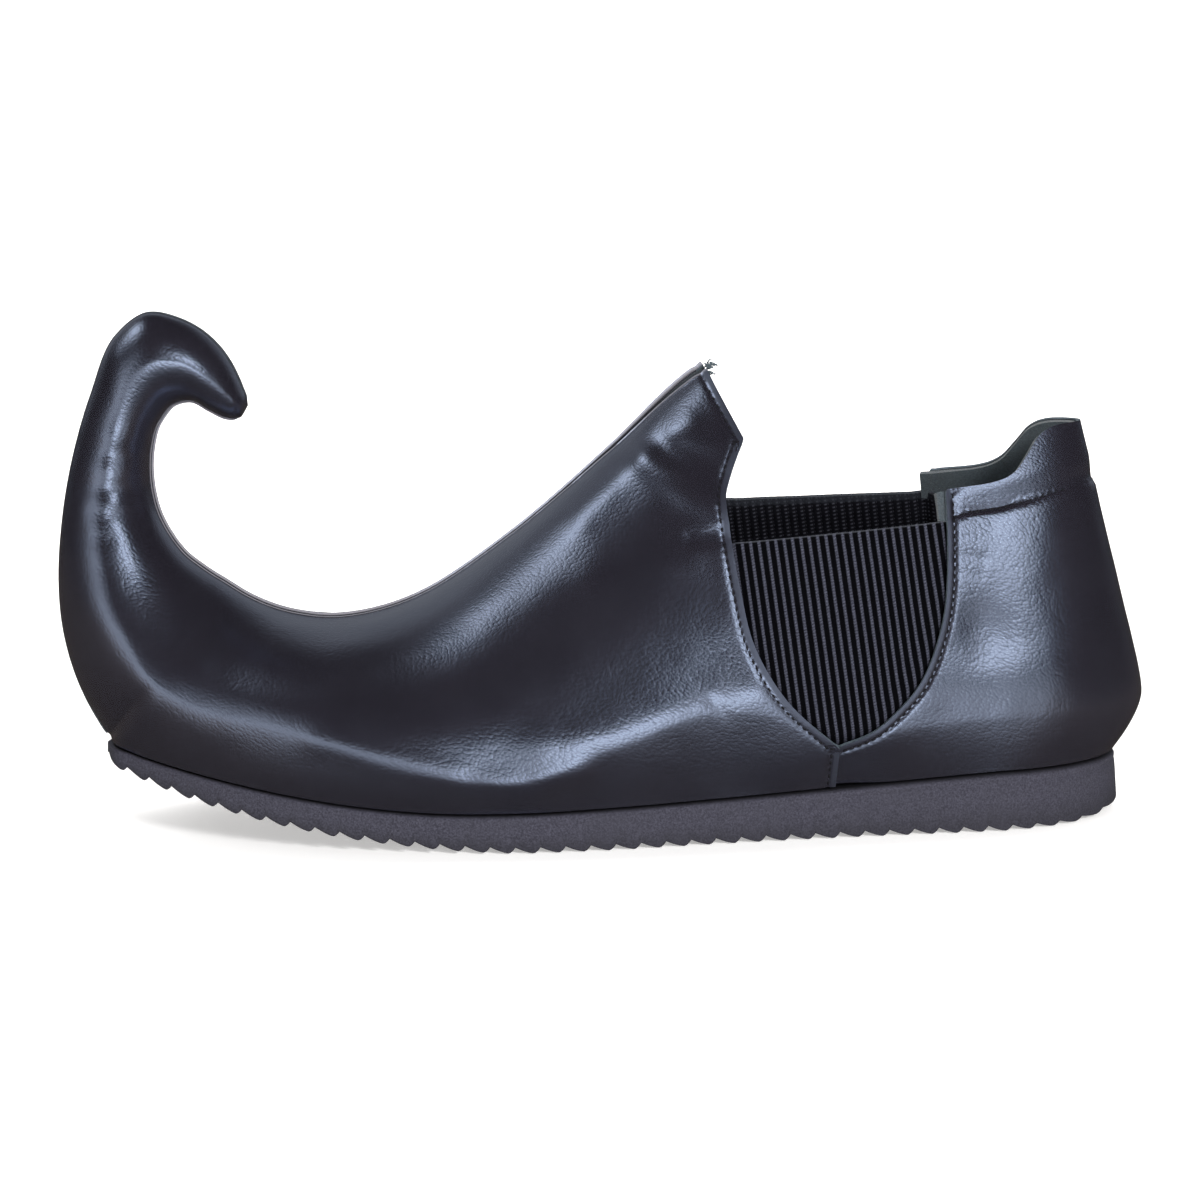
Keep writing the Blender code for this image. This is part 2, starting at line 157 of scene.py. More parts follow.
# Sections of the last from the ankle to the tip of the curl. Low is the feather edge on the sole, and past
# the toe the convex front of the curl; top is the ridge, and past the toe the concave side of the curl.
Section = namedtuple("Section", "low_along low_up top_along top_up foot_out foot_in belly_out belly_in "
                                "belly_at low_round top_power top_round")
SECTIONS = [
    Section(40.0, 17.6, 40.0, 135.0, 32.0, 31.5, 34.6, 34.1, 0.14, 1.0, 1.3, 1.42),
    Section(87.0, 14.9, 87.0, 145.0, 36.0, 32.5, 42.0, 39.0, 0.14, 1.0, 1.5, 1.38),
    Section(122.0, 13.2, 122.0, 132.1, 40.3, 37.0, 46.0, 44.0, 0.22, 1.0, 1.38, 1.62),
    Section(150.0, 12.3, 150.0, 108.3, 44.5, 42.0, 50.0, 48.0, 0.19, 1.0, 1.52, 1.65),
    Section(180.0, 11.6, 180.0, 83.6, 46.5, 46.5, 51.5, 51.5, 0.15, 1.0, 2.0, 1.68),
    Section(207.0, 12.2, 207.0, 66.4, 45.0, 48.0, 50.5, 53.5, 0.24, 1.0, 2.15, 1.7),
    Section(235.0, 15.3, 230.0, 60.7, 41.5, 46.0, 47.0, 51.0, 0.40, 1.0, 2.15, 1.7),
    Section(258.0, 18.8, 244.0, 62.2, 34.5, 39.0, 41.0, 45.0, 0.43, 1.0, 2.05, 1.7),
    Section(277.0, 21.9, 252.5, 65.0, 25.0, 28.5, 35.0, 38.0, 0.44, 1.0, 1.95, 1.7),
    Section(291.0, 24.2, 258.5, 68.1, 15.0, 17.0, 30.5, 32.5, 0.46, 1.1, 1.85, 1.7),
    Section(298.0, 25.4, 261.5, 70.1, 8.0, 9.0, 28.6, 30.3, 0.47, 1.2, 1.8, 1.73),
    Section(300.5, 25.9, 264.0, 71.8, 0.0, 0.0, 27.65, 29.2, 0.475, 1.27, 1.8, 1.745),
    Section(303.4, 31.2, 266.6, 73.5, 0.0, 0.0, 26.2, 27.5, 0.485, 1.38, 1.8, 1.77),
    Section(308.6, 43.0, 270.5, 76.3, 0.0, 0.0, 23.4, 24.4, 0.50, 1.6, 1.8, 1.82),
    Section(312.2, 58.5, 275.5, 80.6, 0.0, 0.0, 20.0, 20.5, 0.50, 1.75, 1.8, 1.87),
    Section(312.7, 74.0, 279.7, 86.6, 0.0, 0.0, 17.0, 17.0, 0.50, 1.8, 1.8, 1.9),
    Section(310.8, 91.0, 282.8, 93.6, 0.0, 0.0, 14.3, 14.3, 0.50, 1.8, 1.8, 1.9),
    Section(306.8, 109.5, 284.3, 103.0, 0.0, 0.0, 12.2, 12.2, 0.50, 1.8, 1.8, 1.9),
    Section(300.6, 128.0, 283.6, 112.6, 0.0, 0.0, 11.8, 11.8, 0.50, 1.8, 1.8, 1.9),
    Section(292.3, 145.5, 280.8, 120.3, 0.0, 0.0, 12.4, 12.4, 0.50, 1.8, 1.8, 1.9),
    Section(283.0, 151.7, 276.6, 124.9, 0.0, 0.0, 12.6, 12.6, 0.50, 1.8, 1.8, 1.9),
    Section(273.0, 149.5, 271.3, 125.9, 0.0, 0.0, 11.6, 11.6, 0.50, 1.8, 1.8, 1.9),
    Section(263.8, 143.1, 265.8, 122.9, 0.0, 0.0, 10.0, 10.0, 0.50, 1.8, 1.8, 1.9),
    Section(258.2, 134.8, 261.2, 120.7, 0.0, 0.0, 7.8, 7.8, 0.50, 1.8, 1.8, 1.9),
    Section(256.0, 129.2, 258.4, 120.5, 0.0, 0.0, 6.0, 6.0, 0.50, 1.8, 1.8, 1.9),
    Section(255.1, 126.4, 256.5, 121.2, 0.0, 0.0, 4.0, 4.0, 0.50, 1.8, 1.8, 1.9),
    Section(254.8, 123.9, 254.8, 123.9, 0.0, 0.0, 0.0, 0.0, 0.50, 1.8, 1.8, 1.9),
]
TIP_ROW = len(SECTIONS) - 1
TOE_ROW = 11
INSTEP_ROW = 4
CURL_ROW = 15

# Edges of the leather in the side view, as (along, up)
THROAT_PEAK = (122.4, 134.5)
THROAT_EDGE = [(111.4, 114.0), (116.7, 100.5), (116.0, 88.0), (113.5, 72.2), (109.8, 56.9), (100.9, 41.7),
               (86.1, 27.1)]
INNER_CORNER = (114.2, 111.5)
LAP_FOOT = (87.6, 8.0)
QUARTER_EDGE = [(86.1, 27.1), (75.1, 32.7), (63.1, 44.8), (56.4, 60.4), (54.2, 76.0), (54.0, 98.2)]
COLLAR_EDGE = [(54.0, 98.2), (40.6, 99.4), (33.8, 101.9), (29.4, 107.0), (25.6, 112.0), (20.6, 114.3),
               (12.3, 114.8)]
LAP_CORNER = (93.0, 31.0)
TAB_LINE = [(7.0, 97.7), (13.6, 97.6), (22.3, 96.0), (30.0, 94.4), (38.3, 92.7), (46.5, 92.0), (53.4, 90.6)]

# Creases in the side view: side (0 for both), path, width, height over the plain surface
Crease = namedtuple("Crease", "side path width height")
CREASES = [
    # edges that stand off the elastic
    Crease(0, [(116.0, 88.0), (113.5, 72.2), (109.8, 56.9), (102.0, 43.0)], 8.0, 0.5),
    Crease(0, [(54.0, 95.0), (54.2, 76.0), (56.4, 60.4), (63.1, 44.8), (72.0, 35.0)], 11.0, 0.9),
    # instep
    Crease(-1, [(138.9, 107.0), (127.3, 99.2), (115.5, 93.5)], 4.2, 1.2),
    Crease(-1, [(133.9, 111.2), (124.2, 108.3), (116.5, 103.6)], 3.8, -1.0),
    Crease(-1, [(127.6, 87.4), (119.2, 87.5), (114.8, 88.0)], 1.6, -0.9),
    Crease(-1, [(156.0, 76.5), (127.8, 82.3)], 5.0, 0.5),
    Crease(-1, [(157.7, 91.4), (141.1, 107.5), (126.6, 117.9)], 3.4, 0.5),
    # belly and puffed patch over the ball
    Crease(-1, [(111.0, 44.9), (127.7, 42.3), (142.8, 37.9), (152.7, 34.4)], 7.0, 0.8),
    Crease(-1, [(161.0, 24.6), (175.2, 20.6), (188.0, 21.5), (211.0, 28.0), (234.0, 34.0)], 4.0, 0.6),
    Crease(-1, [(163.0, 32.2), (168.0, 32.2)], 8.0, 0.9),
    Crease(-1, [(122.6, 43.2), (118.8, 39.0)], 1.6, -0.25),
    Crease(-1, [(191.7, 23.7), (186.8, 19.4)], 1.6, -0.3),
    # quarter
    Crease(-1, [(44.0, 60.0), (42.0, 59.0)], 6.5, -0.4),
    Crease(-1, [(52.0, 79.7), (43.4, 78.5)], 1.4, -0.22),
    Crease(-1, [(51.0, 75.2), (44.5, 74.2)], 1.3, -0.14),
    Crease(-1, [(60.2, 43.1), (40.1, 44.6), (25.6, 44.4)], 8.0, 0.5),
    # toe and curl
    Crease(-1, [(298.0, 68.0), (286.0, 50.0)], 9.0, 0.5),
    Crease(-1, [(300.5, 113.0), (285.9, 112.0)], 3.4, -0.34),
    Crease(-1, [(302.5, 102.4), (287.4, 101.3)], 3.4, -0.36),
    Crease(-1, [(299.2, 94.5), (287.1, 93.2)], 3.2, -0.3),
    Crease(-1, [(302.0, 88.0), (295.0, 87.2)], 3.0, -0.2),
    Crease(-1, [(292.5, 115.2), (292.1, 115.2)], 4.5, 0.3),
    Crease(-1, [(292.7, 106.1), (292.3, 106.1)], 4.0, 0.3),
    Crease(-1, [(293.7, 97.2), (293.3, 97.2)], 3.6, 0.25),
    # inner side
    Crease(1, [(140.0, 104.0), (127.0, 98.0), (117.0, 95.0)], 3.0, 0.8),
    Crease(1, [(131.0, 89.0), (117.0, 86.0)], 1.8, -0.8),
    Crease(1, [(112.0, 43.0), (150.0, 36.0), (180.0, 24.0), (210.0, 28.0), (234.0, 33.0)], 4.5, 0.6),
    Crease(1, [(158.0, 40.0), (166.0, 38.0)], 8.0, 0.7),
    Crease(1, [(200.0, 40.0), (190.0, 27.0)], 1.6, -0.6),
    Crease(1, [(40.0, 62.0), (34.0, 64.0)], 5.0, -0.7),
    Crease(1, [(58.0, 44.0), (28.0, 45.0)], 4.0, 0.5),
    Crease(1, [(299.5, 108.0), (287.5, 107.0)], 1.3, -0.8),
    Crease(1, [(301.5, 97.5), (289.0, 97.0)], 1.3, -0.8),
    Crease(1, [(293.0, 102.5), (292.6, 102.5)], 4.2, 0.6),
]


def blend(rows, place):
    """Read a smooth curve through the rows at a fractional place."""
    last = len(rows) - 1
    first = min(max(int(place), 0), last - 1)
    part = place - first
    near = [rows[min(max(first + step, 0), last)] for step in (-1, 0, 1, 2)]
    return [b + 0.5 * part * (c - a + part * (2 * a - 5 * b + 4 * c - d + part * (3 * (b - c) + d - a)))
            for a, b, c, d in zip(*near)]


def smooth_line(points, steps):
    """Points along a smooth curve, with the given steps between neighbours."""
    count = (len(points) - 1) * steps
    return [tuple(blend(points, index / steps)) for index in range(count + 1)]


def ease(value, start, end):
    """A smooth step from 0 at start to 1 at end."""
    share = min(max((value - start) / (end - start), 0.0), 1.0)
    return share * share * (3 - 2 * share)


def section_gap(first, second):
    """Distance between the middles of two sections."""
    return math.hypot(second.low_along + second.top_along - first.low_along - first.top_along,
                      second.low_up + second.top_up - first.low_up - first.top_up) / 2


SECTION_GAPS = [section_gap(first, second) for first, second in zip(SECTIONS[:-1], SECTIONS[1:])]


def section_slope(row):
    """Change of the section's values for each millimetre at a whole row."""
    slopes = []
    weights = []
    for near in (row - 1, row):
        if 0 <= near < TIP_ROW:
            gap = SECTION_GAPS[near]
            slopes.append([(b - a) / gap for a, b in zip(SECTIONS[near], SECTIONS[near + 1])])
            weights.append(1 / gap)
    return [sum(weight * value for weight, value in zip(weights, values)) / sum(weights)
            for values in zip(*slopes)]


SECTION_SLOPES = [section_slope(row) for row in range(TIP_ROW + 1)]


@lru_cache(maxsize=None)
def section_at(row):
    """The last's section at a fractional row of the table, on a smooth curve that minds their distances."""
    first = min(max(int(row), 0), TIP_ROW - 1)
    part = row - first
    gap = SECTION_GAPS[first]
    ends = zip(SECTIONS[first], SECTIONS[first + 1], SECTION_SLOPES[first], SECTION_SLOPES[first + 1])
    values = []
    for a, b, start, end in ends:
        turn = part * (1 - part) * ((1 - part) * start - part * end) * gap
        values.append(a + (b - a) * part * part * (3 - 2 * part) + turn)
    return Section(*values)


def soft_low_line(reach):
    """The sections' low line with its corner at the sole's front eased over a reach, by row."""
    rows = np.arange(TIP_ROW * 20 + 1) / 20
    line = np.array([section_at(row)[:2] for row in rows])
    runs = np.concatenate(([0.0], np.cumsum(np.hypot(*np.diff(line, axis=0).T))))
    even = np.arange(0.0, runs[-1], 0.5)
    places = np.array([np.interp(even, runs, line[:, axis]) for axis in (0, 1)])
    weights = np.exp(-(np.arange(-3 * reach, 3 * reach + 0.1, 0.5) / reach) ** 2)
    weights /= weights.sum()
    margin = len(weights) // 2
    soft = [np.convolve(np.pad(values, margin, "reflect", reflect_type="odd"), weights, "valid")
            for values in places]
    return rows, [np.interp(runs, even, values) for values in soft]


SOFT_ROWS, SOFT_LOW = soft_low_line(9.0)


@lru_cache(maxsize=None)
def low_shift(row):
    """How far the eased low line lies from a section's low point."""
    cut = section_at(row)
    weight = ease(row, TOE_ROW - 4.0, TOE_ROW - 2.0) * (1 - ease(row, TOE_ROW + 4.0, TOE_ROW + 6.0))
    along, up = (np.interp(row, SOFT_ROWS, values) for values in SOFT_LOW)
    return (along - cut.low_along) * weight, (up - cut.low_up) * weight


def low_at(row, share):
    """The low point of a section as it counts at a share of the section's height."""
    cut = section_at(row)
    weight = 0.4 + 0.6 * ease(share, 0.0, 0.2)
    along, up = low_shift(row)
    return cut.low_along + along * weight, cut.low_up + up * weight


def to_part(point):
    """Turn the shoe's own millimetres into the part's metres."""
    along, side, up = point
    return Vector((MIDDLE_ALONG - along, side - MIDDLE_SIDE, up)) * MM


def wall_point(row, ring, side, margin=0.0):
    """A point of the upper's plain surface, in the shoe's axes.

    Row runs along the section table, and from -1 to 0 round the heel. Ring is the angle up a section, from
    -90 at its low point over 0 at its belly to 90 at its top. Margin goes in under the foot.
    """
    cut = section_at(max(row, 0.0))
    foot, belly = (cut.foot_out, cut.belly_out) if side < 0 else (cut.foot_in, cut.belly_in)
    foot = max(foot - min(margin, LASTING_SHARE * foot), 0.0)
    belly = max(belly, foot)
    angle = math.radians(ring)
    turn = max(math.cos(angle), 0.0)
    if ring < 0:
        swell = turn ** (2 / cut.low_round)
        share = cut.belly_at * (1 - abs(math.sin(angle)) ** (2 / LOW_POWER))
        width = foot + (belly - foot) * swell
    else:
        swell = 1.0
        share = cut.belly_at + (1 - cut.belly_at) * math.sin(angle) ** (2 / cut.top_power)
        width = belly * turn ** (2 / cut.top_round)
    low_along, low_up = low_at(max(row, 0.0), share)
    along = low_along + (cut.top_along - low_along) * share
    up = low_up + (cut.top_up - low_up) * share
    if row >= 0:
        return Vector((along, side * width, up))
    heel = HEEL_TURN * (row + 1)
    reach = (math.cos(heel) - HEEL_END) / (1 - HEEL_END)
    along = cut.low_along - (cut.low_along - back_at(cut, up, swell, margin)) * reach
    return Vector((along, side * width * math.sin(heel) / math.sin(HEEL_TURN), up))


def back_at(cut, up, swell, margin=0.0):
    """Where the back of the heel stands at a height."""
    belly_up = cut.low_up + (cut.top_up - cut.low_up) * cut.belly_at
    back = BACK_FOOT + margin + (BACK_BELLY - BACK_FOOT - margin) * swell
    return back + BACK_LEAN * (math.hypot(max(up - belly_up, 0.0), BACK_BEND) - BACK_BEND)


def heel_angle(reach):
    """The angle round the heel at a share of the way to its back."""
    return math.acos(HEEL_END + (1 - HEEL_END) * min(max(reach, 0.0), 1.0))


def ring_at(row, share):
    """The ring angle at a share of a section's height."""
    cut = section_at(max(row, 0.0))
    share = min(max(share, 0.0), 1.0)
    if share < cut.belly_at:
        return -math.degrees(math.asin((1 - share / cut.belly_at) ** (LOW_POWER / 2)))
    rise = (share - cut.belly_at) / (1 - cut.belly_at)
    return math.degrees(math.asin(rise ** (cut.top_power / 2)))


def share_at(row, up):
    """The share of a section's height at a height over the floor."""
    cut = section_at(max(row, 0.0))
    return (up - cut.low_up) / (cut.top_up - cut.low_up)


def locate(along, up):
    """Row and ring of a point of the side view, from the back of the heel to the instep."""
    if along < SECTIONS[0].low_along:
        cut = SECTIONS[0]
        ring = ring_at(0.0, share_at(0.0, up))
        swell = math.cos(math.radians(ring)) ** (2 / cut.low_round) if ring < 0 else 1.0
        reach = (cut.low_along - along) / (cut.low_along - back_at(cut, up, swell))
        return heel_angle(reach) / HEEL_TURN - 1, ring
    low, high = 0.0, float(INSTEP_ROW)
    for _ in range(26):
        row = (low + high) / 2
        if section_at(row).low_along < along:
            low = row
        else:
            high = row
    return row, ring_at(row, share_at(row, up))


def skin(row, ring, side, margin=0.0):
    """A point of the upper's plain surface and the direction out of it."""
    point = wall_point(row, ring, side, margin)
    if margin:
        return point, Vector((0.0, 0.0, -1.0))
    ahead = wall_point(min(row + 0.02, TIP_ROW), ring, side) - wall_point(max(row - 0.02, -1.0), ring, side)
    rising = wall_point(row, min(ring + 1.5, 90.0), side) - wall_point(row, max(ring - 1.5, -90.0), side)
    out = ahead.cross(rising) * -side
    if out.length < 1e-6:
        out = Vector((-1.0, 0.0, -0.3))
    return point, out.normalized()


class Line:
    """A line of (along, up) points in the side view."""

    def __init__(self, points):
        self.points = np.array(points, dtype=float)
        self.steps = np.diff(self.points, axis=0)
        self.lengths = np.hypot(*self.steps.T)
        self.runs = np.concatenate(([0.0], np.cumsum(self.lengths)))
        self.low = self.points.min(axis=0)
        self.high = self.points.max(axis=0)

    def far(self, along, up, reach):
        """Whether a point lies outside the line's box grown by reach."""
        return not (self.low[0] - reach < along < self.high[0] + reach
                    and self.low[1] - reach < up < self.high[1] + reach)

    def nearest(self, along, up):
        """Distance from the line, negative on its right, and the run of the nearest point."""
        offset = np.array((along, up)) - self.points[:-1]
        share = np.clip((offset * self.steps).sum(axis=1) / self.lengths ** 2, 0.0, 1.0)
        miss = offset - share[:, None] * self.steps
        gap = np.hypot(miss[:, 0], miss[:, 1])
        best = int(gap.argmin())
        turn = self.steps[best, 0] * miss[best, 1] - self.steps[best, 1] * miss[best, 0]
        return math.copysign(gap[best], turn), self.runs[best] + share[best] * self.lengths[best]

    def at(self, run):
        """The point at a run along the line."""
        return tuple(np.interp(run, self.runs, self.points[:, axis]) for axis in (0, 1))

    def aside(self, distance):
        """The line moved to its left by distance."""
        heading = np.gradient(self.points, axis=0)
        heading /= np.hypot(heading[:, 0], heading[:, 1])[:, None]
        return Line(self.points + distance * np.stack((-heading[:, 1], heading[:, 0]), axis=1))


VAMP_LINES = {side: Line([THROAT_PEAK] + smooth_line([corner] + THROAT_EDGE[1:], 8) + [LAP_FOOT])
              for side, corner in ((-1, THROAT_EDGE[0]), (1, INNER_CORNER))}
QUARTER_LINE = Line(smooth_line(QUARTER_EDGE, 8))
COLLAR_LINE = Line(smooth_line(COLLAR_EDGE, 8))
TAB_SEAM = Line(TAB_LINE)
CREASE_LINES = [(crease, Line(crease.path)) for crease in CREASES]
STITCH_LINES = {
    "throat": VAMP_LINES[-1].aside(STITCH_INSET),
    "inner_throat": VAMP_LINES[1].aside(STITCH_INSET),
    "quarter": QUARTER_LINE.aside(STITCH_INSET * 0.9),
    "tab": TAB_SEAM.aside(-0.4),
}


def creased(point, side):
    """Height of the creases and of the leather's slight unevenness at a point."""
    along, across, up = point
    height = 0.0
    for crease, line in CREASE_LINES:
        if crease.side in (0, side) and not line.far(along, up, crease.width * 2.6):
            gap = line.nearest(along, up)[0] / crease.width
            height += crease.height * math.exp(-gap * gap)
    place = Vector((along, across, up))
    height += 0.28 * noise.noise(place / 21.0) + 0.08 * noise.noise(place / 7.5 + Vector((31.0, 7.0, 3.0)))
    return height


def stitch_marks(point, name):
    """Offset from a stitch line, counted from its reach, and the run along it."""
    gap, run = STITCH_LINES[name].nearest(point.x, point.z)
    return min(max(gap + STITCH_REACH, 0.0), 2 * STITCH_REACH), run


def stitch_dip(off):
    """Depth of the channel that a row of stitches pulls into the leather."""
    return STITCH_DIP * math.exp(-((off - STITCH_REACH) / 0.8) ** 2)


class Patch:
    """Rows of points on a surface, with the directions out of it and values for its materials."""

    def __init__(self, *marks):
        self.points = []
        self.outs = []
        self.marks = {mark: [] for mark in marks}

    def row(self):
        """Start a new row."""
        self.points.append([])
        self.outs.append([])
        for values in self.marks.values():
            values.append([])

    def add(self, point, out, **marks):
        """Add a point to the last row."""
        self.points[-1].append(point)
        self.outs[-1].append(out)
        for mark, values in self.marks.items():
            values[-1].append(marks.get(mark, 0.0))

    def mesh(self, name):
        """The grid through the points, as a mesh object in the part's frame."""
        bm = bmesh.new()
        layers = {mark: bm.verts.layers.float.new(mark) for mark in self.marks}
        across, around = len(self.points) - 1, len(self.points[0]) - 1
        made = bmesh.ops.create_grid(bm, x_segments=across, y_segments=around, size=0.5)
        places = {}
        for vert in made["verts"]:
            place = round((vert.co.x + 0.5) * across), round((vert.co.y + 0.5) * around)
            places[vert] = place
            vert.co = to_part(self.points[place[0]][place[1]])
            for mark, layer in layers.items():
                vert[layer] = self.marks[mark][place[0]][place[1]]
        bm.normal_update()
        facing = 0.0
        for vert, (first, second) in places.items():
            along, side, up = self.outs[first][second]
            facing += vert.normal.dot(Vector((-along, side, up)))
        if facing < 0:
            bmesh.ops.reverse_faces(bm, faces=bm.faces)
        bmesh.ops.remove_doubles(bm, verts=bm.verts, dist=WELD * MM)
        return mesh_object(name, bm)


def mesh_object(name, bm):
    """Store a bmesh as a smooth object of the scene."""
    mesh = bpy.data.meshes.new(name)
    bm.to_mesh(mesh)
    bm.free()
    mesh.polygons.foreach_set("use_smooth", [True] * len(mesh.polygons))
    made = bpy.data.objects.new(name, mesh)
    bpy.context.scene.collection.objects.link(made)
    return made


def thicken(piece, thick, sharp=40.0):
    """Give a sheet its thickness inwards; its materials are face, back and cut edge."""
    wall = piece.modifiers.new("thickness", "SOLIDIFY")
    wall.thickness = thick * MM
    wall.offset = -1.0
    wall.use_quality_normals = True
    wall.material_offset = 1
    wall.material_offset_rim = 2
    graph = bpy.context.evaluated_depsgraph_get()
    solid = bpy.data.meshes.new_from_object(piece.evaluated_get(graph))
    piece.modifiers.clear()
    thin = piece.data
    piece.data = solid
    bpy.data.meshes.remove(thin)
    solid.name = piece.name
    solid.set_sharp_from_angle(angle=math.radians(sharp))


def dress(piece, nodes, materials):
    """Set a piece's materials and put it in its place on the part."""
    for material in materials:
        piece.data.materials.append(material)
    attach(piece, "root")
    if nodes:
        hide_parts(*nodes)


# Materials

class Wire:
    """A shader socket that takes part in arithmetic."""

    def __init__(self, paint, socket):
        self.paint = paint
        self.socket = socket

    def math(self, operation, *values):
        """A Math node on this value and others."""
        return self.paint.math(operation, self, *values)

    def __add__(self, other):
        return self.paint.math("ADD", self, other)

    __radd__ = __add__

    def __mul__(self, other):
        return self.paint.math("MULTIPLY", self, other)

    __rmul__ = __mul__

    def __sub__(self, other):
        return self.paint.math("SUBTRACT", self, other)

    def __rsub__(self, other):
        return self.paint.math("SUBTRACT", other, self)

    def __truediv__(self, other):
        return self.paint.math("DIVIDE", self, other)

    def __rtruediv__(self, other):
        return self.paint.math("DIVIDE", other, self)

    def __pow__(self, other):
        return self.paint.math("POWER", self, other)

    def __neg__(self):
        return self.paint.math("MULTIPLY", self, -1.0)

    def sin(self):
        """The sine of an angle in radians."""
        return self.paint.math("SINE", self)

    def hill(self, width):
        """A bell round zero."""
        return self.paint.math("EXPONENT", self * self * (-1 / width ** 2))

    def step(self, low, high):
        """A smooth step from 0 at low to 1 at high."""
        return self.paint.node("ShaderNodeMapRange", {"interpolation_type": "SMOOTHSTEP"},
                               {"Value": self, "From Min": low, "From Max": high})


class Paint:
    """A material, or the world, under construction."""

    def __init__(self, name, kind="materials"):
        self.made = getattr(bpy.data, kind).new(name)
        self.made.use_nodes = True
        self.tree = self.made.node_tree
        self.shader = self.tree.nodes["Principled BSDF" if kind == "materials" else "Background"]

    def put(self, socket, value):
        """Link a wire to a socket, or set the socket's value."""
        if isinstance(value, Wire):
            self.tree.links.new(value.socket, socket)
        else:
            socket.default_value = value

    def node(self, kind, settings, sockets, output=0):
        """A node with its settings and sockets, read at one output."""
        made = self.tree.nodes.new(kind)
        for key, value in settings.items():
            setattr(made, key, value)
        for key, value in sockets.items():
            self.put(made.inputs[key], value)
        return Wire(self, made.outputs[output])

    def math(self, operation, *values):
        """A Math node on values."""
        return self.node("ShaderNodeMath", {"operation": operation}, dict(enumerate(values)))

    def place(self, stretch=(1.0, 1.0, 1.0), turn=0.0):
        """Object coordinates in millimetres, turned about the side axis and then stretched."""
        coords = self.node("ShaderNodeTexCoord", {}, {}, "Object")
        sockets = {"Vector": coords, "Rotation": (0.0, math.radians(turn), 0.0), "Scale": [1 / MM] * 3}
        turned = self.node("ShaderNodeMapping", {"vector_type": "POINT"}, sockets)
        return self.node("ShaderNodeMapping", {"vector_type": "POINT"}, {"Vector": turned, "Scale": stretch})

    def mark(self, name):
        """A value stored on the piece's points."""
        return self.node("ShaderNodeAttribute", {"attribute_name": name}, {}, "Fac")

    def noise(self, place, size, detail=2.0, rough=0.5):
        """Soft noise with cells of a size in millimetres, from 0 to 1."""
        return self.node("ShaderNodeTexNoise", {}, {"Vector": place, "Scale": 1 / size, "Detail": detail,
                                                    "Roughness": rough}, "Fac")

    def cells(self, place, size, feature="DISTANCE_TO_EDGE"):
        """Cells of a size in millimetres."""
        return self.node("ShaderNodeTexVoronoi", {"feature": feature}, {"Vector": place, "Scale": 1 / size},
                         "Distance")

    def mix(self, share, first, second):
        """A colour between two colours."""
        colours = [value if isinstance(value, Wire) else (*value, 1.0) for value in (first, second)]
        return self.node("ShaderNodeMix", {"data_type": "RGBA"}, {0: share, 6: colours[0], 7: colours[1]}, 2)

    def bump(self, height, distance, under=None, strength=1.0):
        """A normal from a height of a distance in millimetres, over another normal."""
        sockets = {"Height": height, "Distance": distance * MM, "Strength": strength}
        if under:
            sockets["Normal"] = under
        return self.node("ShaderNodeBump", {}, sockets)

    def finish(self, **sockets):
        """Set the shader's sockets and give the material."""
        for key, value in sockets.items():
            socket = self.shader.inputs[key.replace("_", " ")]
            if key.endswith("Color") and not isinstance(value, Wire):
                value = (*value, 1.0)
            self.put(socket, value)
        return self.made


def leather_paint():
    """Black grained leather with a soft sheen, puckered at its stitches, and with a painted highlight: a pale
    line along its seam's edges.
    """
    paint = Paint("grained_leather")
    place = paint.place()
    pulled = paint.place((0.7, 1.0, 1.0), -25.0)
    patches = paint.noise(place, 16.0, 3.0)
    pebbles = paint.cells(pulled, 0.75, "F1")
    wrinkles = paint.noise(pulled, 0.8, 2.0)
    fine = paint.noise(place, 0.42, 3.0, 0.65)
    folds = paint.noise(place, 3.2, 3.0, 0.6)
    # painted highlight: a pale line where the seam's rounded edges catch the light, mixed into the base
    # colour
    seam_highlight = paint.mark("seam_edge")
    tone = paint.mix(patches, (0.0076, 0.0066, 0.0094), (0.0116, 0.0103, 0.0140))
    tone = paint.mix(seam_highlight * (0.5 + 0.6 * fine), tone, (0.30, 0.29, 0.32))
    rough = 0.20 + 0.05 * patches + 0.05 * fine
    normal = paint.bump(folds, 0.04)
    for row in ("stitch", "tab"):
        off = paint.mark(row + "_off") - STITCH_REACH
        turn = (paint.mark(row + "_run") * (math.pi / STITCH_PITCH)).sin()
        puckers = turn * turn * off.hill(1.0) - 0.9 * off.hill(0.5)
        normal = paint.bump(puckers, 0.05, normal)
        if row == "stitch":
            rough = rough + 0.3 * (-off).step(0.4, 1.1)
    normal = paint.bump(0.3 * wrinkles - pebbles * pebbles, 0.042, normal)
    normal = paint.bump(fine, 0.016, normal)
    return paint.finish(Base_Color=tone, Roughness=rough, Normal=normal, IOR=2.0, Specular_IOR_Level=1.0,
                        Specular_Tint=(0.64, 0.75, 1.0, 1.0))


def cut_edge_paint():
    """The leather's cut edge: a pale blue-grey fibre core."""
    paint = Paint("cut_leather_edge")
    place = paint.place()
    fibres = paint.noise(place, 0.5, 4.0, 0.7)
    patches = paint.noise(place, 5.0)
    tone = paint.mix(fibres.step(0.3, 0.75), (0.032, 0.045, 0.055), (0.13, 0.16, 0.185))
    tone = paint.mix(patches.step(0.45, 0.75) * 0.5, tone, (0.04, 0.05, 0.06))
    return paint.finish(Base_Color=tone, Roughness=0.8, Normal=paint.bump(fibres, 0.2))


def backing_paint():
    """The leather's cloth backing: a dark knitted fabric."""
    paint = Paint("leather_backing")
    place = paint.place()
    knit = paint.cells(place, 0.7, "F1")
    fuzz = paint.noise(place, 0.35, 3.0, 0.7)
    tone = paint.mix(fuzz, (0.022, 0.026, 0.030), (0.060, 0.068, 0.075))
    return paint.finish(Base_Color=tone, Roughness=0.92, Normal=paint.bump(knit + 0.6 * fuzz, 0.2))


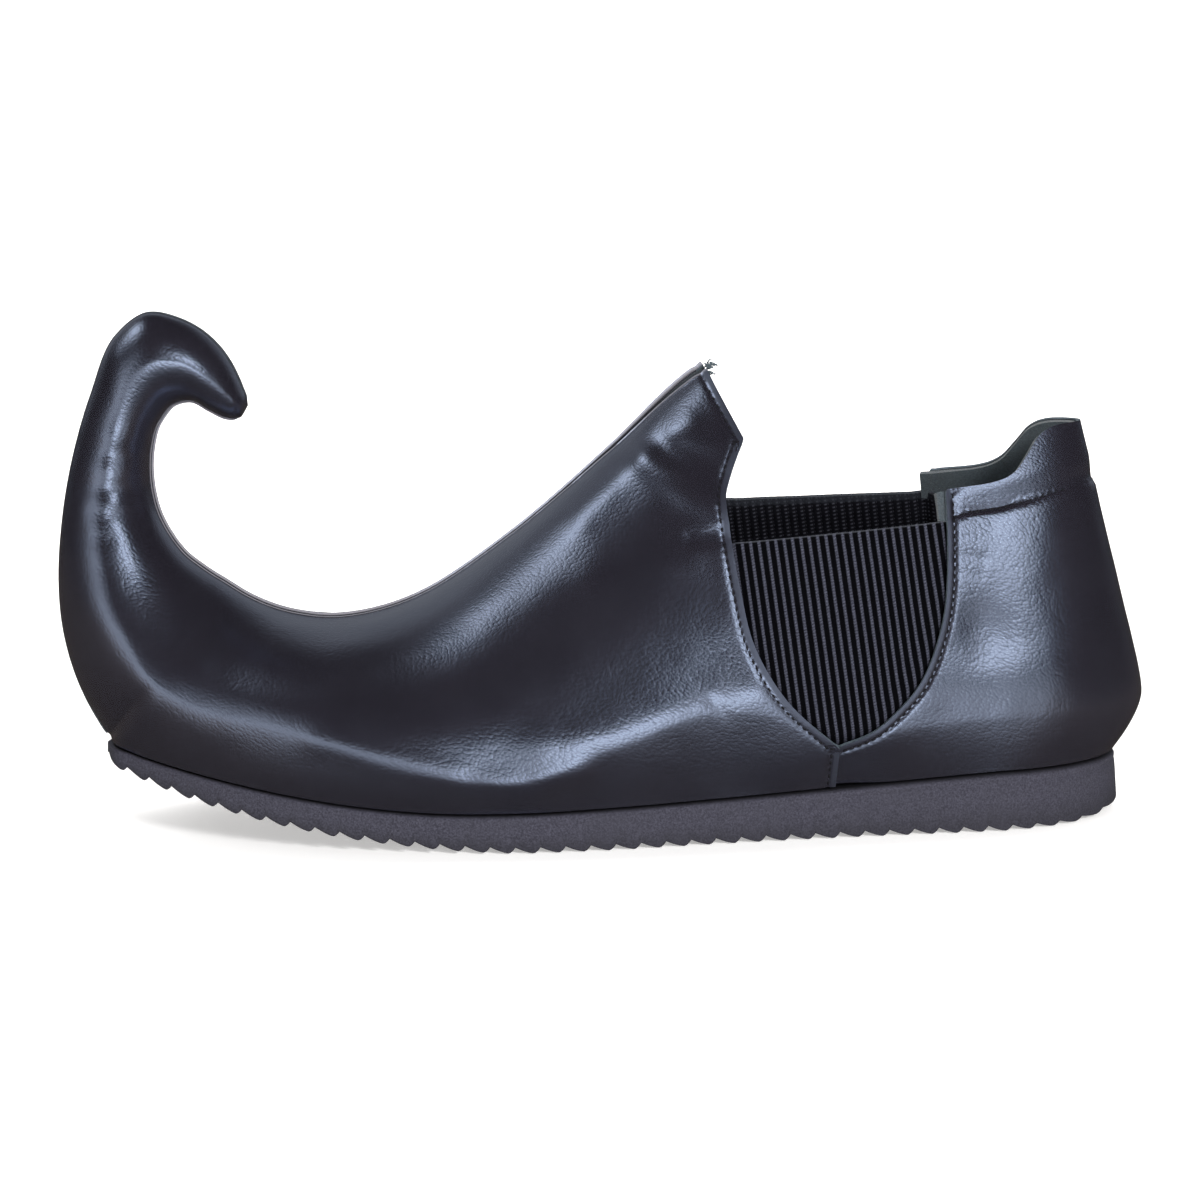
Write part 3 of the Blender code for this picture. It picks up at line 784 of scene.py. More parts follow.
def elastic_face_paint():
    """The elastic's face: grey ribs on black, with fuzzy yarn."""
    paint = Paint("elastic_ribs")
    place = paint.place()
    phase = paint.mark("rib")
    climb = paint.mark("climb")
    hem = paint.mark("hem")
    wave = (phase * (2 * math.pi)).sin()
    rib = wave.step(0.0, 0.9)
    yarn = (climb * (2 * math.pi / 0.85) + phase * 3.0).sin()
    fuzz = paint.noise(place, 0.30, 4.0, 0.75)
    lint = paint.noise(place, 1.3, 3.0, 0.7)
    grey = paint.mix(fuzz.step(0.25, 0.75), (0.015, 0.016, 0.022), (0.070, 0.073, 0.100))
    tone = paint.mix(rib * (0.6 + 0.2 * yarn + 0.35 * lint), (0.0012, 0.0012, 0.0017), grey)
    tone = paint.mix(hem.step(0.9, 0.99) * fuzz, tone, (0.05, 0.053, 0.062))
    normal = paint.bump(rib * yarn * 0.4 + fuzz, 0.22)
    return paint.finish(Base_Color=tone, Roughness=0.9, Normal=normal, Specular_IOR_Level=0.05)


def elastic_back_paint():
    """The elastic's back: a black weave with dotted chains, and a lighter hem."""
    paint = Paint("elastic_weave")
    place = paint.place()
    phase = paint.mark("rib")
    climb = paint.mark("climb")
    hem = paint.mark("hem")
    chain = (phase * (4 * math.pi)).sin().step(-0.1, 0.7)
    dots = (climb * (2 * math.pi / 1.2)).sin().step(-0.2, 0.7)
    fuzz = paint.noise(place, 0.35, 4.0, 0.7)
    tone = paint.mix(chain * dots * (0.3 + 0.9 * fuzz), (0.0055, 0.0055, 0.0075), (0.045, 0.047, 0.058))
    tone = paint.mix(hem.step(0.08, 0.2) * 0.6, tone, (0.022, 0.024, 0.030))
    tone = paint.mix(hem.step(0.9, 0.99) * fuzz, tone, (0.10, 0.11, 0.12))
    normal = paint.bump(chain * dots + fuzz, 0.25)
    return paint.finish(Base_Color=tone, Roughness=0.9, Normal=normal, Specular_IOR_Level=0.05)


def felt_paint():
    """The heel lining: teal-grey felt with a short nap."""
    paint = Paint("felt_lining")
    place = paint.place()
    nap = paint.noise(place, 0.5, 5.0, 0.75)
    patches = paint.noise(place, 7.0, 3.0)
    tone = paint.mix(nap.step(0.3, 0.7), (0.012, 0.018, 0.023), (0.036, 0.050, 0.060))
    tone = paint.mix(patches.step(0.4, 0.8) * 0.5, tone, (0.022, 0.029, 0.034))
    return paint.finish(Base_Color=tone, Roughness=0.95, Normal=paint.bump(nap, 0.35), Sheen_Weight=0.25,
                        Sheen_Roughness=0.6)


def insole_paint():
    """The insole's cover: a dark twill cloth."""
    paint = Paint("insole_cloth")
    place = paint.place()
    weave = paint.node("ShaderNodeTexWave", {"wave_type": "BANDS", "bands_direction": "DIAGONAL"},
                       {"Vector": place, "Scale": 0.55, "Distortion": 0.6, "Detail": 1.0}, "Fac")
    fuzz = paint.noise(place, 0.45, 4.0, 0.7)
    patches = paint.noise(place, 22.0, 3.0)
    tone = paint.mix(weave * 0.5 + 0.5 * fuzz, (0.016, 0.018, 0.020), (0.055, 0.060, 0.064))
    tone = paint.mix(patches.step(0.45, 0.75) * 0.35, tone, (0.030, 0.031, 0.033))
    return paint.finish(Base_Color=tone, Roughness=0.93, Normal=paint.bump(weave + 0.6 * fuzz, 0.2))


def foam_paint():
    """The sole: dark grey moulded foam with a fine speckle."""
    paint = Paint("foam_sole")
    place = paint.place()
    cells = paint.cells(place, 0.9, "F1")
    grit = paint.noise(place, 0.55, 4.0, 0.7)
    patches = paint.noise(place, 14.0, 3.0)
    low = paint.mark("tread")
    tone = paint.mix(grit.step(0.3, 0.72), (0.0160, 0.0153, 0.0218), (0.0445, 0.0433, 0.0582))
    tone = paint.mix(patches.step(0.4, 0.7) * 0.3, tone, (0.029, 0.0284, 0.037))
    tone = paint.mix((0.12 - cells).step(0.0, 0.1) * 0.5, tone, (0.085, 0.083, 0.092))
    # darker towards the bottom of the wall and over the bottom
    tone = paint.mix(low * 0.45, tone, (0.014, 0.0135, 0.016))
    # painted shade: near-black over the sole's top face and along the groove just under the upper, where the
    # upper shades the sole
    tone = paint.mix(paint.mark("rim") * 0.9, tone, (0.002, 0.002, 0.002))
    normal = paint.bump(grit, 0.16)
    return paint.finish(Base_Color=tone, Roughness=0.72 + 0.12 * grit, Normal=normal, Specular_IOR_Level=0.3)


def thread_paint():
    """Black sewing thread with a faint twist."""
    paint = Paint("sewing_thread")
    place = paint.place()
    twist = paint.noise(place, 0.22, 2.0)
    tone = paint.mix(twist, (0.002, 0.002, 0.003), (0.010, 0.010, 0.012))
    normal = paint.bump(twist, 0.12)
    return paint.finish(Base_Color=tone, Roughness=0.6, Normal=normal, Specular_IOR_Level=0.2)


def fray_paint():
    """Loose pale fibres of the leather's backing."""
    paint = Paint("loose_fibre")
    place = paint.place()
    twist = paint.noise(place, 0.4, 2.0)
    tone = paint.mix(twist, (0.02, 0.028, 0.034), (0.10, 0.125, 0.14))
    return paint.finish(Base_Color=tone, Roughness=0.8, Normal=paint.bump(twist, 0.1))


LEATHER = leather_paint()
CUT_EDGE = cut_edge_paint()
BACKING = backing_paint()
ELASTIC_FACE = elastic_face_paint()
ELASTIC_BACK = elastic_back_paint()
FELT = felt_paint()
INSOLE_CLOTH = insole_paint()
FOAM = foam_paint()
THREAD = thread_paint()
FRAY = fray_paint()


# Leather panels

def vamp_rings(row, side):
    """Ring angles of the vamp's columns at a row, close together at the centre seam."""
    cut = section_at(row)
    belly = max(cut.belly_out if side < 0 else cut.belly_in, WELD)
    reach = min(SEAM_REACH, SEAM_SHARE * belly)
    spread = [reach * share for share in SEAM_COLUMNS]
    near = [math.degrees(math.acos((width / belly) ** (cut.top_round / 2))) for width in spread]
    low = [-90.0 + 90.0 * step / VAMP_LOW_COLUMNS for step in range(VAMP_LOW_COLUMNS)]
    high = [near[0] * step / VAMP_HIGH_COLUMNS for step in range(VAMP_HIGH_COLUMNS)]
    return low + high + near


def vamp_start(column, side):
    """The row at which a column of the vamp meets its rear edge."""
    low, high = 0.3, 3.2
    alongs, ups = VAMP_LINES[side].points[::-1].T
    for _ in range(24):
        row = (low + high) / 2
        along, _, up = wall_point(row, vamp_rings(row, side)[column], side)
        if along < np.interp(up, ups, alongs):
            low = row
        else:
            high = row
    return row


def seam_relief(row, drop, side):
    """Height of the centre seam, and the strength of the painted highlight along its edges, at a distance
    from the ridge.

    The inner half's edge stands proud. The outer half's fold runs beside it, further off towards the peak.
    """
    fade = 1 - ease(row, TIP_ROW - 3.0, TIP_ROW - 0.6)
    if side < 0:
        apart = 0.9 + 1.7 * (1 - ease(row, 1.8, 4.8))
        fold = math.exp(-((drop - apart) / 0.5) ** 2)
        groove = 1 - ease(drop, apart - 0.9, apart - 0.1)
        return (0.4 * fold - 0.6 * groove) * fade, math.exp(-((drop - apart) / 0.32) ** 2) * fade
    rise = SEAM_RISE + PEAK_RISE * (1 - ease(row, 2.0, 3.4))
    lip = 1 - ease(drop, 1.3, 2.9)
    round_off = 0.6 * max(1 - drop / 0.9, 0.0) ** 2
    return rise * (lip - round_off) * fade, math.exp(-((drop - 0.4) / 0.32) ** 2) * fade


def make_vamp(name, side):
    """One half of the vamp, from its edge at throat, gore and lap to the tip of the curl."""
    throat = "throat" if side < 0 else "inner_throat"
    count = len(vamp_rings(2.0, side))
    starts = [vamp_start(column, side) for column in range(count)]
    front = [INSTEP_ROW + step / VAMP_FRONT_ROWS
             for step in range(1, (CURL_ROW - INSTEP_ROW) * VAMP_FRONT_ROWS + 1)]
    front += [CURL_ROW + step / VAMP_CURL_ROWS
              for step in range(1, (TIP_ROW - CURL_ROW) * VAMP_CURL_ROWS + 1)]
    patch = Patch("stitch_off", "stitch_run", "seam_edge")
    shares = [step / VAMP_REAR_ROWS for step in range(VAMP_REAR_ROWS + 1)]
    rows = [(share, None) for share in shares] + [(None, row) for row in front]
    for share, fixed in rows:
        patch.row()
        for column in range(-2, count):
            place = max(column, 0)
            row = fixed
            if row is None:
                part = 0.35 * share + 0.65 * share * share
                row = starts[place] + (INSTEP_ROW - starts[place]) * part
            ring = vamp_rings(row, side)[place]
            margin = LASTING_MARGIN * (-column / 2) if column < 0 else 0.0
            point, out = skin(row, ring, side, margin)
            if column < 0:
                patch.add(point, out)
                continue
            width = abs(point.y) if ring > 0 else PANEL_FAR
            calm = 1 - ease(row, TIP_ROW - 2.5, TIP_ROW - 0.5)
            height = creased(point, side) * calm * ease(ring, -90.0, -60.0)
            drop = (wall_point(row, 90.0, side) - point).length if ring > 0 else PANEL_FAR
            # the seam's relief, and the strength of the painted highlight along its edges
            seam, seam_highlight = seam_relief(row, drop, side)
            height = height * ease(width, 0.0, 5.0) + seam
            if row > TOE_ROW and ring < 0:
                height -= 0.4 * math.exp(-(point.y / 0.9) ** 2) * ease(row, TOE_ROW, TOE_ROW + 1.5) * calm
            off, run = stitch_marks(point, throat) if row < INSTEP_ROW else (2 * STITCH_REACH, 0.0)
            height -= stitch_dip(off)
            patch.add(point + out * height, out, stitch_off=off, stitch_run=run, seam_edge=seam_highlight)
    piece = patch.mesh(name)
    dress(piece, ["upper"], [LEATHER, BACKING, CUT_EDGE, LEATHER, BACKING, LEATHER])
    for face in piece.data.polygons:
        centre = face.center / MM
        if abs(centre.y + MIDDLE_SIDE) < SEAM_EDGE and centre.x < MIDDLE_ALONG - 124.0:
            face.material_index = 3
    thicken(piece, LEATHER_THICK)


def quarter_rim():
    """Even points of the quarter's upper edge as row, ring and run, with its corner's run and its length."""
    path = [LAP_CORNER] + list(map(tuple, QUARTER_LINE.points)) + list(map(tuple, COLLAR_LINE.points[1:]))
    corner = len(QUARTER_LINE.points)
    spots = []
    for index, (first, second) in enumerate(zip(path[:-1], path[1:])):
        for step in range(8):
            share = step / 8
            along = first[0] + (second[0] - first[0]) * share
            up = first[1] + (second[1] - first[1]) * share
            spots.append((*locate(along, up), index + share))
    spots.append((-1.0, locate(path[-1][0], path[-1][1])[1], len(path) - 1.0))
    places = [wall_point(row, ring, -1) for row, ring, _ in spots]
    runs = np.concatenate(([0.0], np.cumsum([(b - a).length for a, b in zip(places[:-1], places[1:])])))
    spots = np.array(spots)
    corner_run = np.interp(corner, spots[:, 2], runs)
    even = np.linspace(0.0, runs[-1], QUARTER_COLUMNS)
    rim = [(np.interp(run, runs, spots[:, 0]), np.interp(run, runs, spots[:, 1]), run) for run in even]
    return rim, corner_run, runs[-1]


def tab_height(point):
    """Height over the heel tab's lower seam, in the side view."""
    line = np.array(TAB_LINE)
    return point.z - np.interp(point.x, line[:, 0], line[:, 1])


def quarter_relief(point, side, calm=1.0):
    """Height of the quarter's surface: heel tab, lap under the vamp, and creases."""
    over = tab_height(point) if point.x < 54.5 else -PANEL_FAR
    fade = 1 - ease(point.x, 50.0, 54.0)
    height = (1.0 * ease(over, 0.0, 7.5) - 0.8 * ease(over, -0.9, 0.1)) * fade
    height -= LAP_DIP * ease(point.x, 70.0, 85.5)
    return height + calm * creased(point, side) * (1 - ease(over, 0.0, 9.0))


def round_heel(columns):
    """Columns of the outer side and, mirrored, of the inner side, each with its side first."""
    return [(-1, *column) for column in columns] + [(1, *column) for column in columns[-2::-1]]


def quarter_spots():
    """Columns of the quarter from the outer lap round the heel to the inner lap, as foot and rim places."""
    rim, corner_run, full_run = quarter_rim()
    columns = []
    for row, ring, run in rim:
        if run < corner_run:
            foot_row = LAP_FOOT_ROW + (CORNER_FOOT_ROW - LAP_FOOT_ROW) * run / corner_run
        else:
            share = (run - corner_run) / (full_run - corner_run)
            foot_row = CORNER_FOOT_ROW + (BACK_FOOT_ROW - CORNER_FOOT_ROW) * share
        columns.append((foot_row, row, ring))
    return round_heel(columns)


def column_spot(foot_row, rim_row, rim_ring, climb):
    """Row and ring at a share of the way up a column."""
    row = foot_row + (rim_row - foot_row) * climb
    low = SECTIONS[0].low_up if rim_row < 0 else section_at(rim_row).low_up
    rim_up = wall_point(rim_row, rim_ring, -1).z
    base = section_at(max(row, 0.0)).low_up
    up = base + (rim_up - low) * climb + (low - base) * climb
    return row, ring_at(row, share_at(row, up))


def make_quarter():
    """The heel quarter with its tab, in one piece round the heel."""
    patch = Patch("stitch_off", "stitch_run", "tab_off", "tab_run")
    for side, foot_row, rim_row, rim_ring in quarter_spots():
        patch.row()
        for margin in (LASTING_MARGIN, LASTING_MARGIN / 2):
            patch.add(*skin(foot_row, -90.0, side, margin))
        for step in range(QUARTER_STEPS + 1):
            climb = 1 - (1 - step / QUARTER_STEPS) ** 1.2
            row, ring = column_spot(foot_row, rim_row, rim_ring, climb)
            point, out = skin(row, ring, side)
            height = quarter_relief(point, side, ease(ring, -90.0, -60.0))
            marks = {}
            for mark, line in (("stitch", "quarter"), ("tab", "tab")):
                off, run = stitch_marks(point, line)
                height -= stitch_dip(off)
                marks |= {mark + "_off": off, mark + "_run": run}
            patch.add(point + out * height, out, **marks)
    piece = patch.mesh("quarter")
    dress(piece, ["upper"], [LEATHER, BACKING, CUT_EDGE])
    thicken(piece, LEATHER_THICK)


def make_heel_lining():
    """The felt lining inside the heel, from gore to gore."""
    rim, corner_run, _ = quarter_rim()
    patch = Patch()
    columns = [locate(56.5, 97.8)] + [(row, ring) for row, ring, run in rim if run >= corner_run]
    for side, rim_row, rim_ring in round_heel(columns):
        patch.row()
        foot_row = rim_row - 0.1 * ease(rim_row, -0.1, 0.1)
        low = 0.04 + 0.86 * ease(rim_row, 0.05, 0.3)
        for step in range(LINING_STEPS + 1):
            climb = low + (0.997 - low) * step / LINING_STEPS
            row, ring = column_spot(foot_row, rim_row, rim_ring, climb)
            point, out = skin(row, ring, side)
            depth = LEATHER_THICK + LINING_GAP - quarter_relief(point, side)
            depth += 0.2 * abs(noise.noise(point / 11.0)) * (1 - climb)
            patch.add(point - out * depth, out)
    piece = patch.mesh("heel_lining")
    dress(piece, [], [FELT, FELT, FELT])
    thicken(piece, LINING_THICK)


# Elastic gores

def gore_outline(side):
    """The elastic's outline in the side view: the V with a lap behind the leather, and a straight top."""
    top_front, top_rear = GORE_TOP[side]
    front = [point for point in smooth_line(THROAT_EDGE, 6) if point[1] < top_front]
    rear = [point for point in smooth_line(QUARTER_EDGE, 6) if point[1] < top_rear]
    front_line = Line(front).aside(GORE_LAP).points[:-1]
    rear_line = Line(rear).aside(GORE_LAP).points[1:]
    tip = (front[-1][0], front[-1][1] - GORE_LAP)
    front_corner = (front[0][0] + GORE_LAP, top_front)
    rear_corner = (rear[-1][0] - GORE_LAP, top_rear)
    return [front_corner, *map(tuple, front_line), tip, *map(tuple, rear_line), rear_corner]


def make_gore(name, side, node):
    """One ribbed elastic panel, behind the leather of its side."""
    lean, stand = math.sin(RIB_LEAN), math.cos(RIB_LEAN)
    outline = [(along * stand - up * lean, along * lean + up * stand) for along, up in gore_outline(side)]
    ends = list(zip(outline, outline[1:] + outline[:1]))
    low, high = min(outline)[0] + 0.15, max(outline)[0] - 0.15
    count = round((high - low) / RIB_PITCH * RIB_COLUMNS)
    patch = Patch("rib", "climb", "hem")
    for index in range(count + 1):
        across = low + (high - low) * index / count
        climbs = [a[1] + (b[1] - a[1]) * (across - a[0]) / (b[0] - a[0])
                  for a, b in ends if min(a[0], b[0]) <= across < max(a[0], b[0])]
        foot, top = min(climbs), max(climbs)
        wave = math.sin(2 * math.pi * across / RIB_PITCH)
        patch.row()
        for step in range(GORE_STEPS + 1):
            share = 1 - (1 - step / GORE_STEPS) ** 1.6
            climb = foot + (top - foot) * share
            along, up = across * stand + climb * lean, climb * stand - across * lean
            row, ring = locate(along, up)
            point, out = skin(row, ring, side)
            hem = math.exp(-((top - climb) / 1.6) ** 2)
            height = RIB_HEIGHT * (0.5 + 0.5 * wave) * (1 - 0.8 * hem) + 0.25 * hem
            slack = 0.2 * abs(noise.noise(Vector((along / 17.0, up / 26.0, side * 3.0))))
            rear, front = QUARTER_LINE.nearest(along, up)[0], VAMP_LINES[side].nearest(along, up)[0]
            lap = max(rear, front)
            depth = GORE_DEPTH + slack - height * (1 - ease(lap, -1.5, 0.3))
            depth += 0.4 * ease(lap, -2.0, -0.2) + (LINING_THICK + 0.2) * ease(lap, -0.3, 2.5)
            if lap > -6.0:
                over = ease(rear - front, -2.0, 2.0)
                relief = over * quarter_relief(point, side) + (1 - over) * creased(point, side)
                depth -= relief * ease(lap, -6.0, -1.0)
            patch.add(point - out * depth, out, rib=across / RIB_PITCH, climb=climb, hem=hem)
    piece = patch.mesh(name)
    dress(piece, [node], [ELASTIC_FACE, ELASTIC_BACK, ELASTIC_FACE])
    thicken(piece, GORE_THICK, 60.0)


# Sole and insole

FOOT_ROWS = [row / 40 for row in range(TOE_ROW * 40 + 1)]
FOOT_ALONG = [section_at(row).low_along for row in FOOT_ROWS]


def foot_spot(along, side, edge):
    """A point of the feather line's plan outline moved outwards by edge: along, side and the top's height."""
    cut = SECTIONS[0]
    if along < cut.low_along:
        foot = cut.foot_out if side < 0 else cut.foot_in
        reach = (cut.low_along - along) / (cut.low_along - BACK_FOOT)
        heel = heel_angle(reach)
        turned = (math.cos(heel) - HEEL_END) / (1 - HEEL_END)
        back = cut.low_along - (cut.low_along - BACK_FOOT + edge) * turned
        return back, side * (foot + edge) * math.sin(heel) / math.sin(HEEL_TURN), cut.low_up
    row = float(np.interp(along, FOOT_ALONG, FOOT_ROWS))
    cut = section_at(row)
    foot = cut.foot_out if side < 0 else cut.foot_in
    turn = ease(row, TOE_ROW - 3.0, TOE_ROW)
    return along + edge * turn, side * max(foot + edge * (1 - turn), 0.0), cut.low_up


def tread_height(along):
    """Height of the ripples' noses: flat from heel to ball, rising to the toe and at the back of the heel."""
    toe = max(along - BALL, 0.0) / (SOLE_LENGTH - BALL)
    heel = max(HEEL_BEVEL - along, 0.0) / HEEL_BEVEL
    return TOE_SPRING * toe ** SPRING_POWER + HEEL_LIFT * heel * heel


def ripple(along):
    """Height of the ripples over their noses: sharp notches between rounded noses, shallow at the heel."""
    share = (along / TOOTH_PITCH) % 1.0
    if share < NOSE:
        height = ((NOSE - share) / NOSE) ** 1.7
    else:
        height = ((share - NOSE) / (1 - NOSE)) ** 1.5
    return TOOTH_DEPTH * height * (1 - 0.4 * (1 - ease(along, 8.0, 45.0)))


def sole_stations():
    """Places along the sole: close round the heel and the toe, and at each notch and nose."""
    places = [BACK_FOOT + HEEL_LENGTH * (1 - math.cos(math.radians(2.0 * step))) for step in range(10)]
    for tooth in range(int(SOLE_LENGTH / TOOTH_PITCH)):
        notches = [(tooth + share) * TOOTH_PITCH for share in TOOTH_STEPS]
        places += [notch for notch in notches if notch > 4.5]
    front = SECTIONS[TOE_ROW].low_along
    places = [place for place in places if place < front - 6.0]
    places += [front - 6.0 * (1 - step / 12) ** 2 for step in range(13)]
    return sorted(places)


def make_sole():
    """The wedge sole: flared walls, a small bevel and a groove at the heel's rim, and the ripple bottom."""
    across = [step / 8 for step in range(1, 8)]
    patch = Patch("tread", "rim")
    for along in sole_stations():
        patch.row()
        walls = []
        for side in (-1, 1):
            wall = []
            for level in WALL_LEVELS:
                place, width, top = foot_spot(along, side, SOLE_EDGE)
                top -= SOLE_GAP
                floor = tread_height(place) + ripple(place)
                drop = max(top - floor, THINNEST_EDGE) * level
                edge = SOLE_EDGE + SOLE_FLARE * drop
                edge -= 1.1 * math.exp(-(drop / 0.5) ** 2)
                edge -= 0.35 * math.exp(-((drop - 2.6) / 0.45) ** 2) * (1 - ease(along, 60.0, 110.0))
                edge -= 0.45 * max((level - 0.93) / 0.07, 0.0) ** 2
                place, width, _ = foot_spot(along, side, edge)
                if level == 1.0:
                    drop = max(top - tread_height(place) - ripple(place), THINNEST_EDGE)
                wall.append((Vector((place, width, top - drop)), Vector((0.0, side, 0.0)), level))
            walls.append(wall)
        outer, inner = walls
        bottom = []
        for share in across:
            middle = outer[-1][0].lerp(inner[-1][0], share)
            middle.z = min(middle.z, tread_height(middle.x) + ripple(middle.x))
            bottom.append((middle, Vector((0.0, 0.0, -1.0)), 1.0))
        cover = []
        for share in across[::2]:
            middle = inner[0][0].lerp(outer[0][0], share)
            cover.append((middle, Vector((0.0, 0.0, 1.0)), 0.0))
        loop = outer + bottom + inner[::-1] + cover
        for point, out, level in loop + loop[:1]:
            # rim: where the painted shade lies, at the top of the wall and over the top face
            patch.add(point, out, tread=ease(level, 0.62, 0.8), rim=1 - ease(level, 0.0, 0.08))
    piece = patch.mesh("ripple_sole")
    dress(piece, ["sole"], [FOAM])
    piece.data.set_sharp_from_angle(angle=math.radians(48.0))


def make_insole():
    """The insole: a thin cushioned liner with a turned edge and a shallow heel seat."""
    front = SECTIONS[TOE_ROW].low_along
    places = [BACK_FOOT + HEEL_LENGTH * (1 - math.cos(math.radians(6.0 * step))) for step in range(15)]
    places += [40.0 + 4.0 * step for step in range(62)]
    places += [front - 13.0 * (1 - step / 10) ** 2 for step in range(11)]
    patch = Patch()
    for along in places:
        patch.row()
        outer, inner = (Vector(foot_spot(along, side, -INSOLE_INSET)) for side in (-1, 1))
        for step in range(INSOLE_STEPS + 1):
            share = 0.5 - 0.5 * math.cos(math.pi * step / INSOLE_STEPS)
            point = outer.lerp(inner, share)
            rim = abs(2 * share - 1)
            point.z += INSOLE_RISE - 0.9 * rim ** 10 + 0.5 * rim ** 3 * (1 - rim ** 8)
            point.z += 0.25 * noise.noise(point / 15.0)
            patch.add(point, Vector((0.0, 0.0, 1.0)))
    piece = patch.mesh("insole_cover")
    dress(piece, ["insole"], [INSOLE_CLOTH, INSOLE_CLOTH, FELT])
    thicken(piece, INSOLE_THICK, 60.0)


# Stitches and loose fibres

def stitch_places(name, sides):
    """Place, heading and outward direction of each stitch of a line."""
    line = STITCH_LINES[name]
    for side in sides:
        count = int(line.runs[-1] / STITCH_PITCH)
        for index in range(count):
            spots = []
            for step in (-0.3, 0.0, 0.3):
                along, up = line.at((index + 0.5 + step) * STITCH_PITCH)
                row, ring = locate(along, up)
                spots.append(skin(row, ring, side))
            point, out = spots[1]
            if not STITCH_LOWEST <= point.z <= STITCH_HIGHEST:
                continue
            height = creased(point, side) if "throat" in name else quarter_relief(point, side)
            heading = (spots[2][0] - spots[0][0]).normalized()
            yield point + out * (height - STITCH_SINK), heading, out


def make_stitches():
    """Rows of thread stitches along throat, lap, gore and heel tab."""
    bm = bmesh.new()
    length, wide, high = STITCH_SIZE
    for name, sides in (("throat", (-1,)), ("inner_throat", (1,)), ("quarter", (-1, 1)), ("tab", (-1, 1))):
        for point, heading, out in stitch_places(name, sides):
            ahead = Vector((-heading.x, heading.y, heading.z))
            rise = Vector((-out.x, out.y, out.z))
            across = rise.cross(ahead).normalized()
            rise = ahead.cross(across)
            turn = Matrix((ahead * length, across * wide, rise * high)).transposed() * MM
            place = Matrix.Translation(to_part(point)) @ turn.to_4x4()
            bmesh.ops.create_uvsphere(bm, u_segments=6, v_segments=4, radius=0.5, matrix=place)
    bmesh.ops.recalc_face_normals(bm, faces=bm.faces)
    piece = mesh_object("stitches", bm)
    dress(piece, [], [THREAD])


def make_fray():
    """A clump of loose backing fibres at the throat's peak."""
    bm = bmesh.new()
    for index in range(FIBRES):
        turn = 2.4 * index
        spread = math.sqrt(index / FIBRES)
        aside = Vector((-1.2 * spread * math.cos(turn), 1.3 * spread * math.sin(turn), 0.0))
        root = Vector(FIBRE_ROOT) + aside + Vector((0.0, 0.0, 1.3 * math.sin(2.0 * turn)))
        end = Vector((-1.5 - 1.1 * math.sin(1.7 * index), 1.4 * math.sin(turn), 1.3 * math.cos(2.9 * index)))
        bend = Vector((0.5 * math.cos(turn), 0.5 * math.sin(3.0 * index), 0.7 * math.sin(turn)))
        path = [to_part(root + end * share + bend * math.sin(math.pi * share))
                for share in (0.0, 0.3, 0.65, 1.0)]
        made = bmesh.ops.create_circle(bm, cap_ends=True, radius=FIBRE_RADIUS * MM, segments=6)
        face = made["verts"][0].link_faces[0]
        heading = (path[1] - path[0]).to_track_quat("Z", "Y").to_matrix().to_4x4()
        bmesh.ops.transform(bm, verts=face.verts, matrix=Matrix.Translation(path[0]) @ heading)
        for first, second in zip(path[:-1], path[1:]):
            face = bmesh.ops.extrude_discrete_faces(bm, faces=[face])["faces"][0]
            bmesh.ops.translate(bm, verts=face.verts, vec=second - first)
    bmesh.ops.remove_doubles(bm, verts=bm.verts, dist=0.1 * WELD * MM)
    bmesh.ops.recalc_face_normals(bm, faces=bm.faces)
    piece = mesh_object("peak_fibres", bm)
    dress(piece, [], [FRAY])


# Floor, lights and camera, in metres and degrees

FLOOR_WIDE = 7.0
FLOOR_LONG = 6.0
FLOOR_FRONT = 2.5
SWEEP_START = 1.2
SWEEP_RADIUS = 1.2
FLOOR_GAP = 0.0002
AIM = (0.0, 0.0, 0.06)
CAMERA_PLACE = (0.0032, -0.8862, 0.2265)
CAMERA_TILT = 10.4
CAMERA_ROLL = 1.2
SENSOR_WIDE = 36.0
LENS_LENGTH = 91.53

# Soft boxes aimed at the shoe: name, bearing, height, distance, size and power
SOFT_BOXES = [
    ("low_box", 12.0, 2.2, 1.7, (0.9, 0.22), 19.0),
    ("key_box", 29.0, 25.0, 1.7, (0.32, 0.40), 30.0),
    ("toe_box", -50.0, 11.0, 1.7, (0.9, 0.40), 12.0),
    ("top_box", 180.0, 72.0, 2.4, (2.6, 1.4), 30.0),
]

# Glows for the leather to mirror: bearing, height and width in degrees, and strength
GLOWS = [
    (29.0, 23.0, 9.0, 5.8),
    (9.0, -5.0, 9.5, 4.2),
    (-52.0, 10.0, 15.0, 0.95),
    (-97.0, 47.0, 11.0, 3.8),
]


def make_floor():
    """A plain pale floor that sweeps up behind the shoe."""
    bm = bmesh.new()
    made = bmesh.ops.create_grid(bm, x_segments=2, y_segments=60, size=0.5)
    for vert in made["verts"]:
        run = (vert.co.y + 0.5) * FLOOR_LONG - FLOOR_FRONT
        bend = min(max(run - SWEEP_START, 0.0) / SWEEP_RADIUS, math.pi / 2)
        rest = max(run - SWEEP_START - SWEEP_RADIUS * math.pi / 2, 0.0)
        back = min(run, SWEEP_START) + SWEEP_RADIUS * math.sin(bend)
        vert.co = (vert.co.x * FLOOR_WIDE, back, SWEEP_RADIUS * (1 - math.cos(bend)) + rest - FLOOR_GAP)
    piece = mesh_object("floor", bm)
    paint = Paint("pale_floor")
    grain = paint.noise(paint.place(), 60.0, 2.0)
    tone = paint.mix(grain, (0.80, 0.79, 0.78), (0.83, 0.82, 0.81))
    piece.data.materials.append(paint.finish(Base_Color=tone, Roughness=0.9, Emission_Color=tone,
                                             Emission_Strength=0.45))
    piece.visible_glossy = False
    piece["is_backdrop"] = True


def towards(bearing, height):
    """A direction from the shoe; bearing 0 is in front of its outer side, and grows towards the heel."""
    turn, rise = math.radians(bearing), math.radians(height)
    return Vector((math.sin(turn) * math.cos(rise), -math.cos(turn) * math.cos(rise), math.sin(rise)))


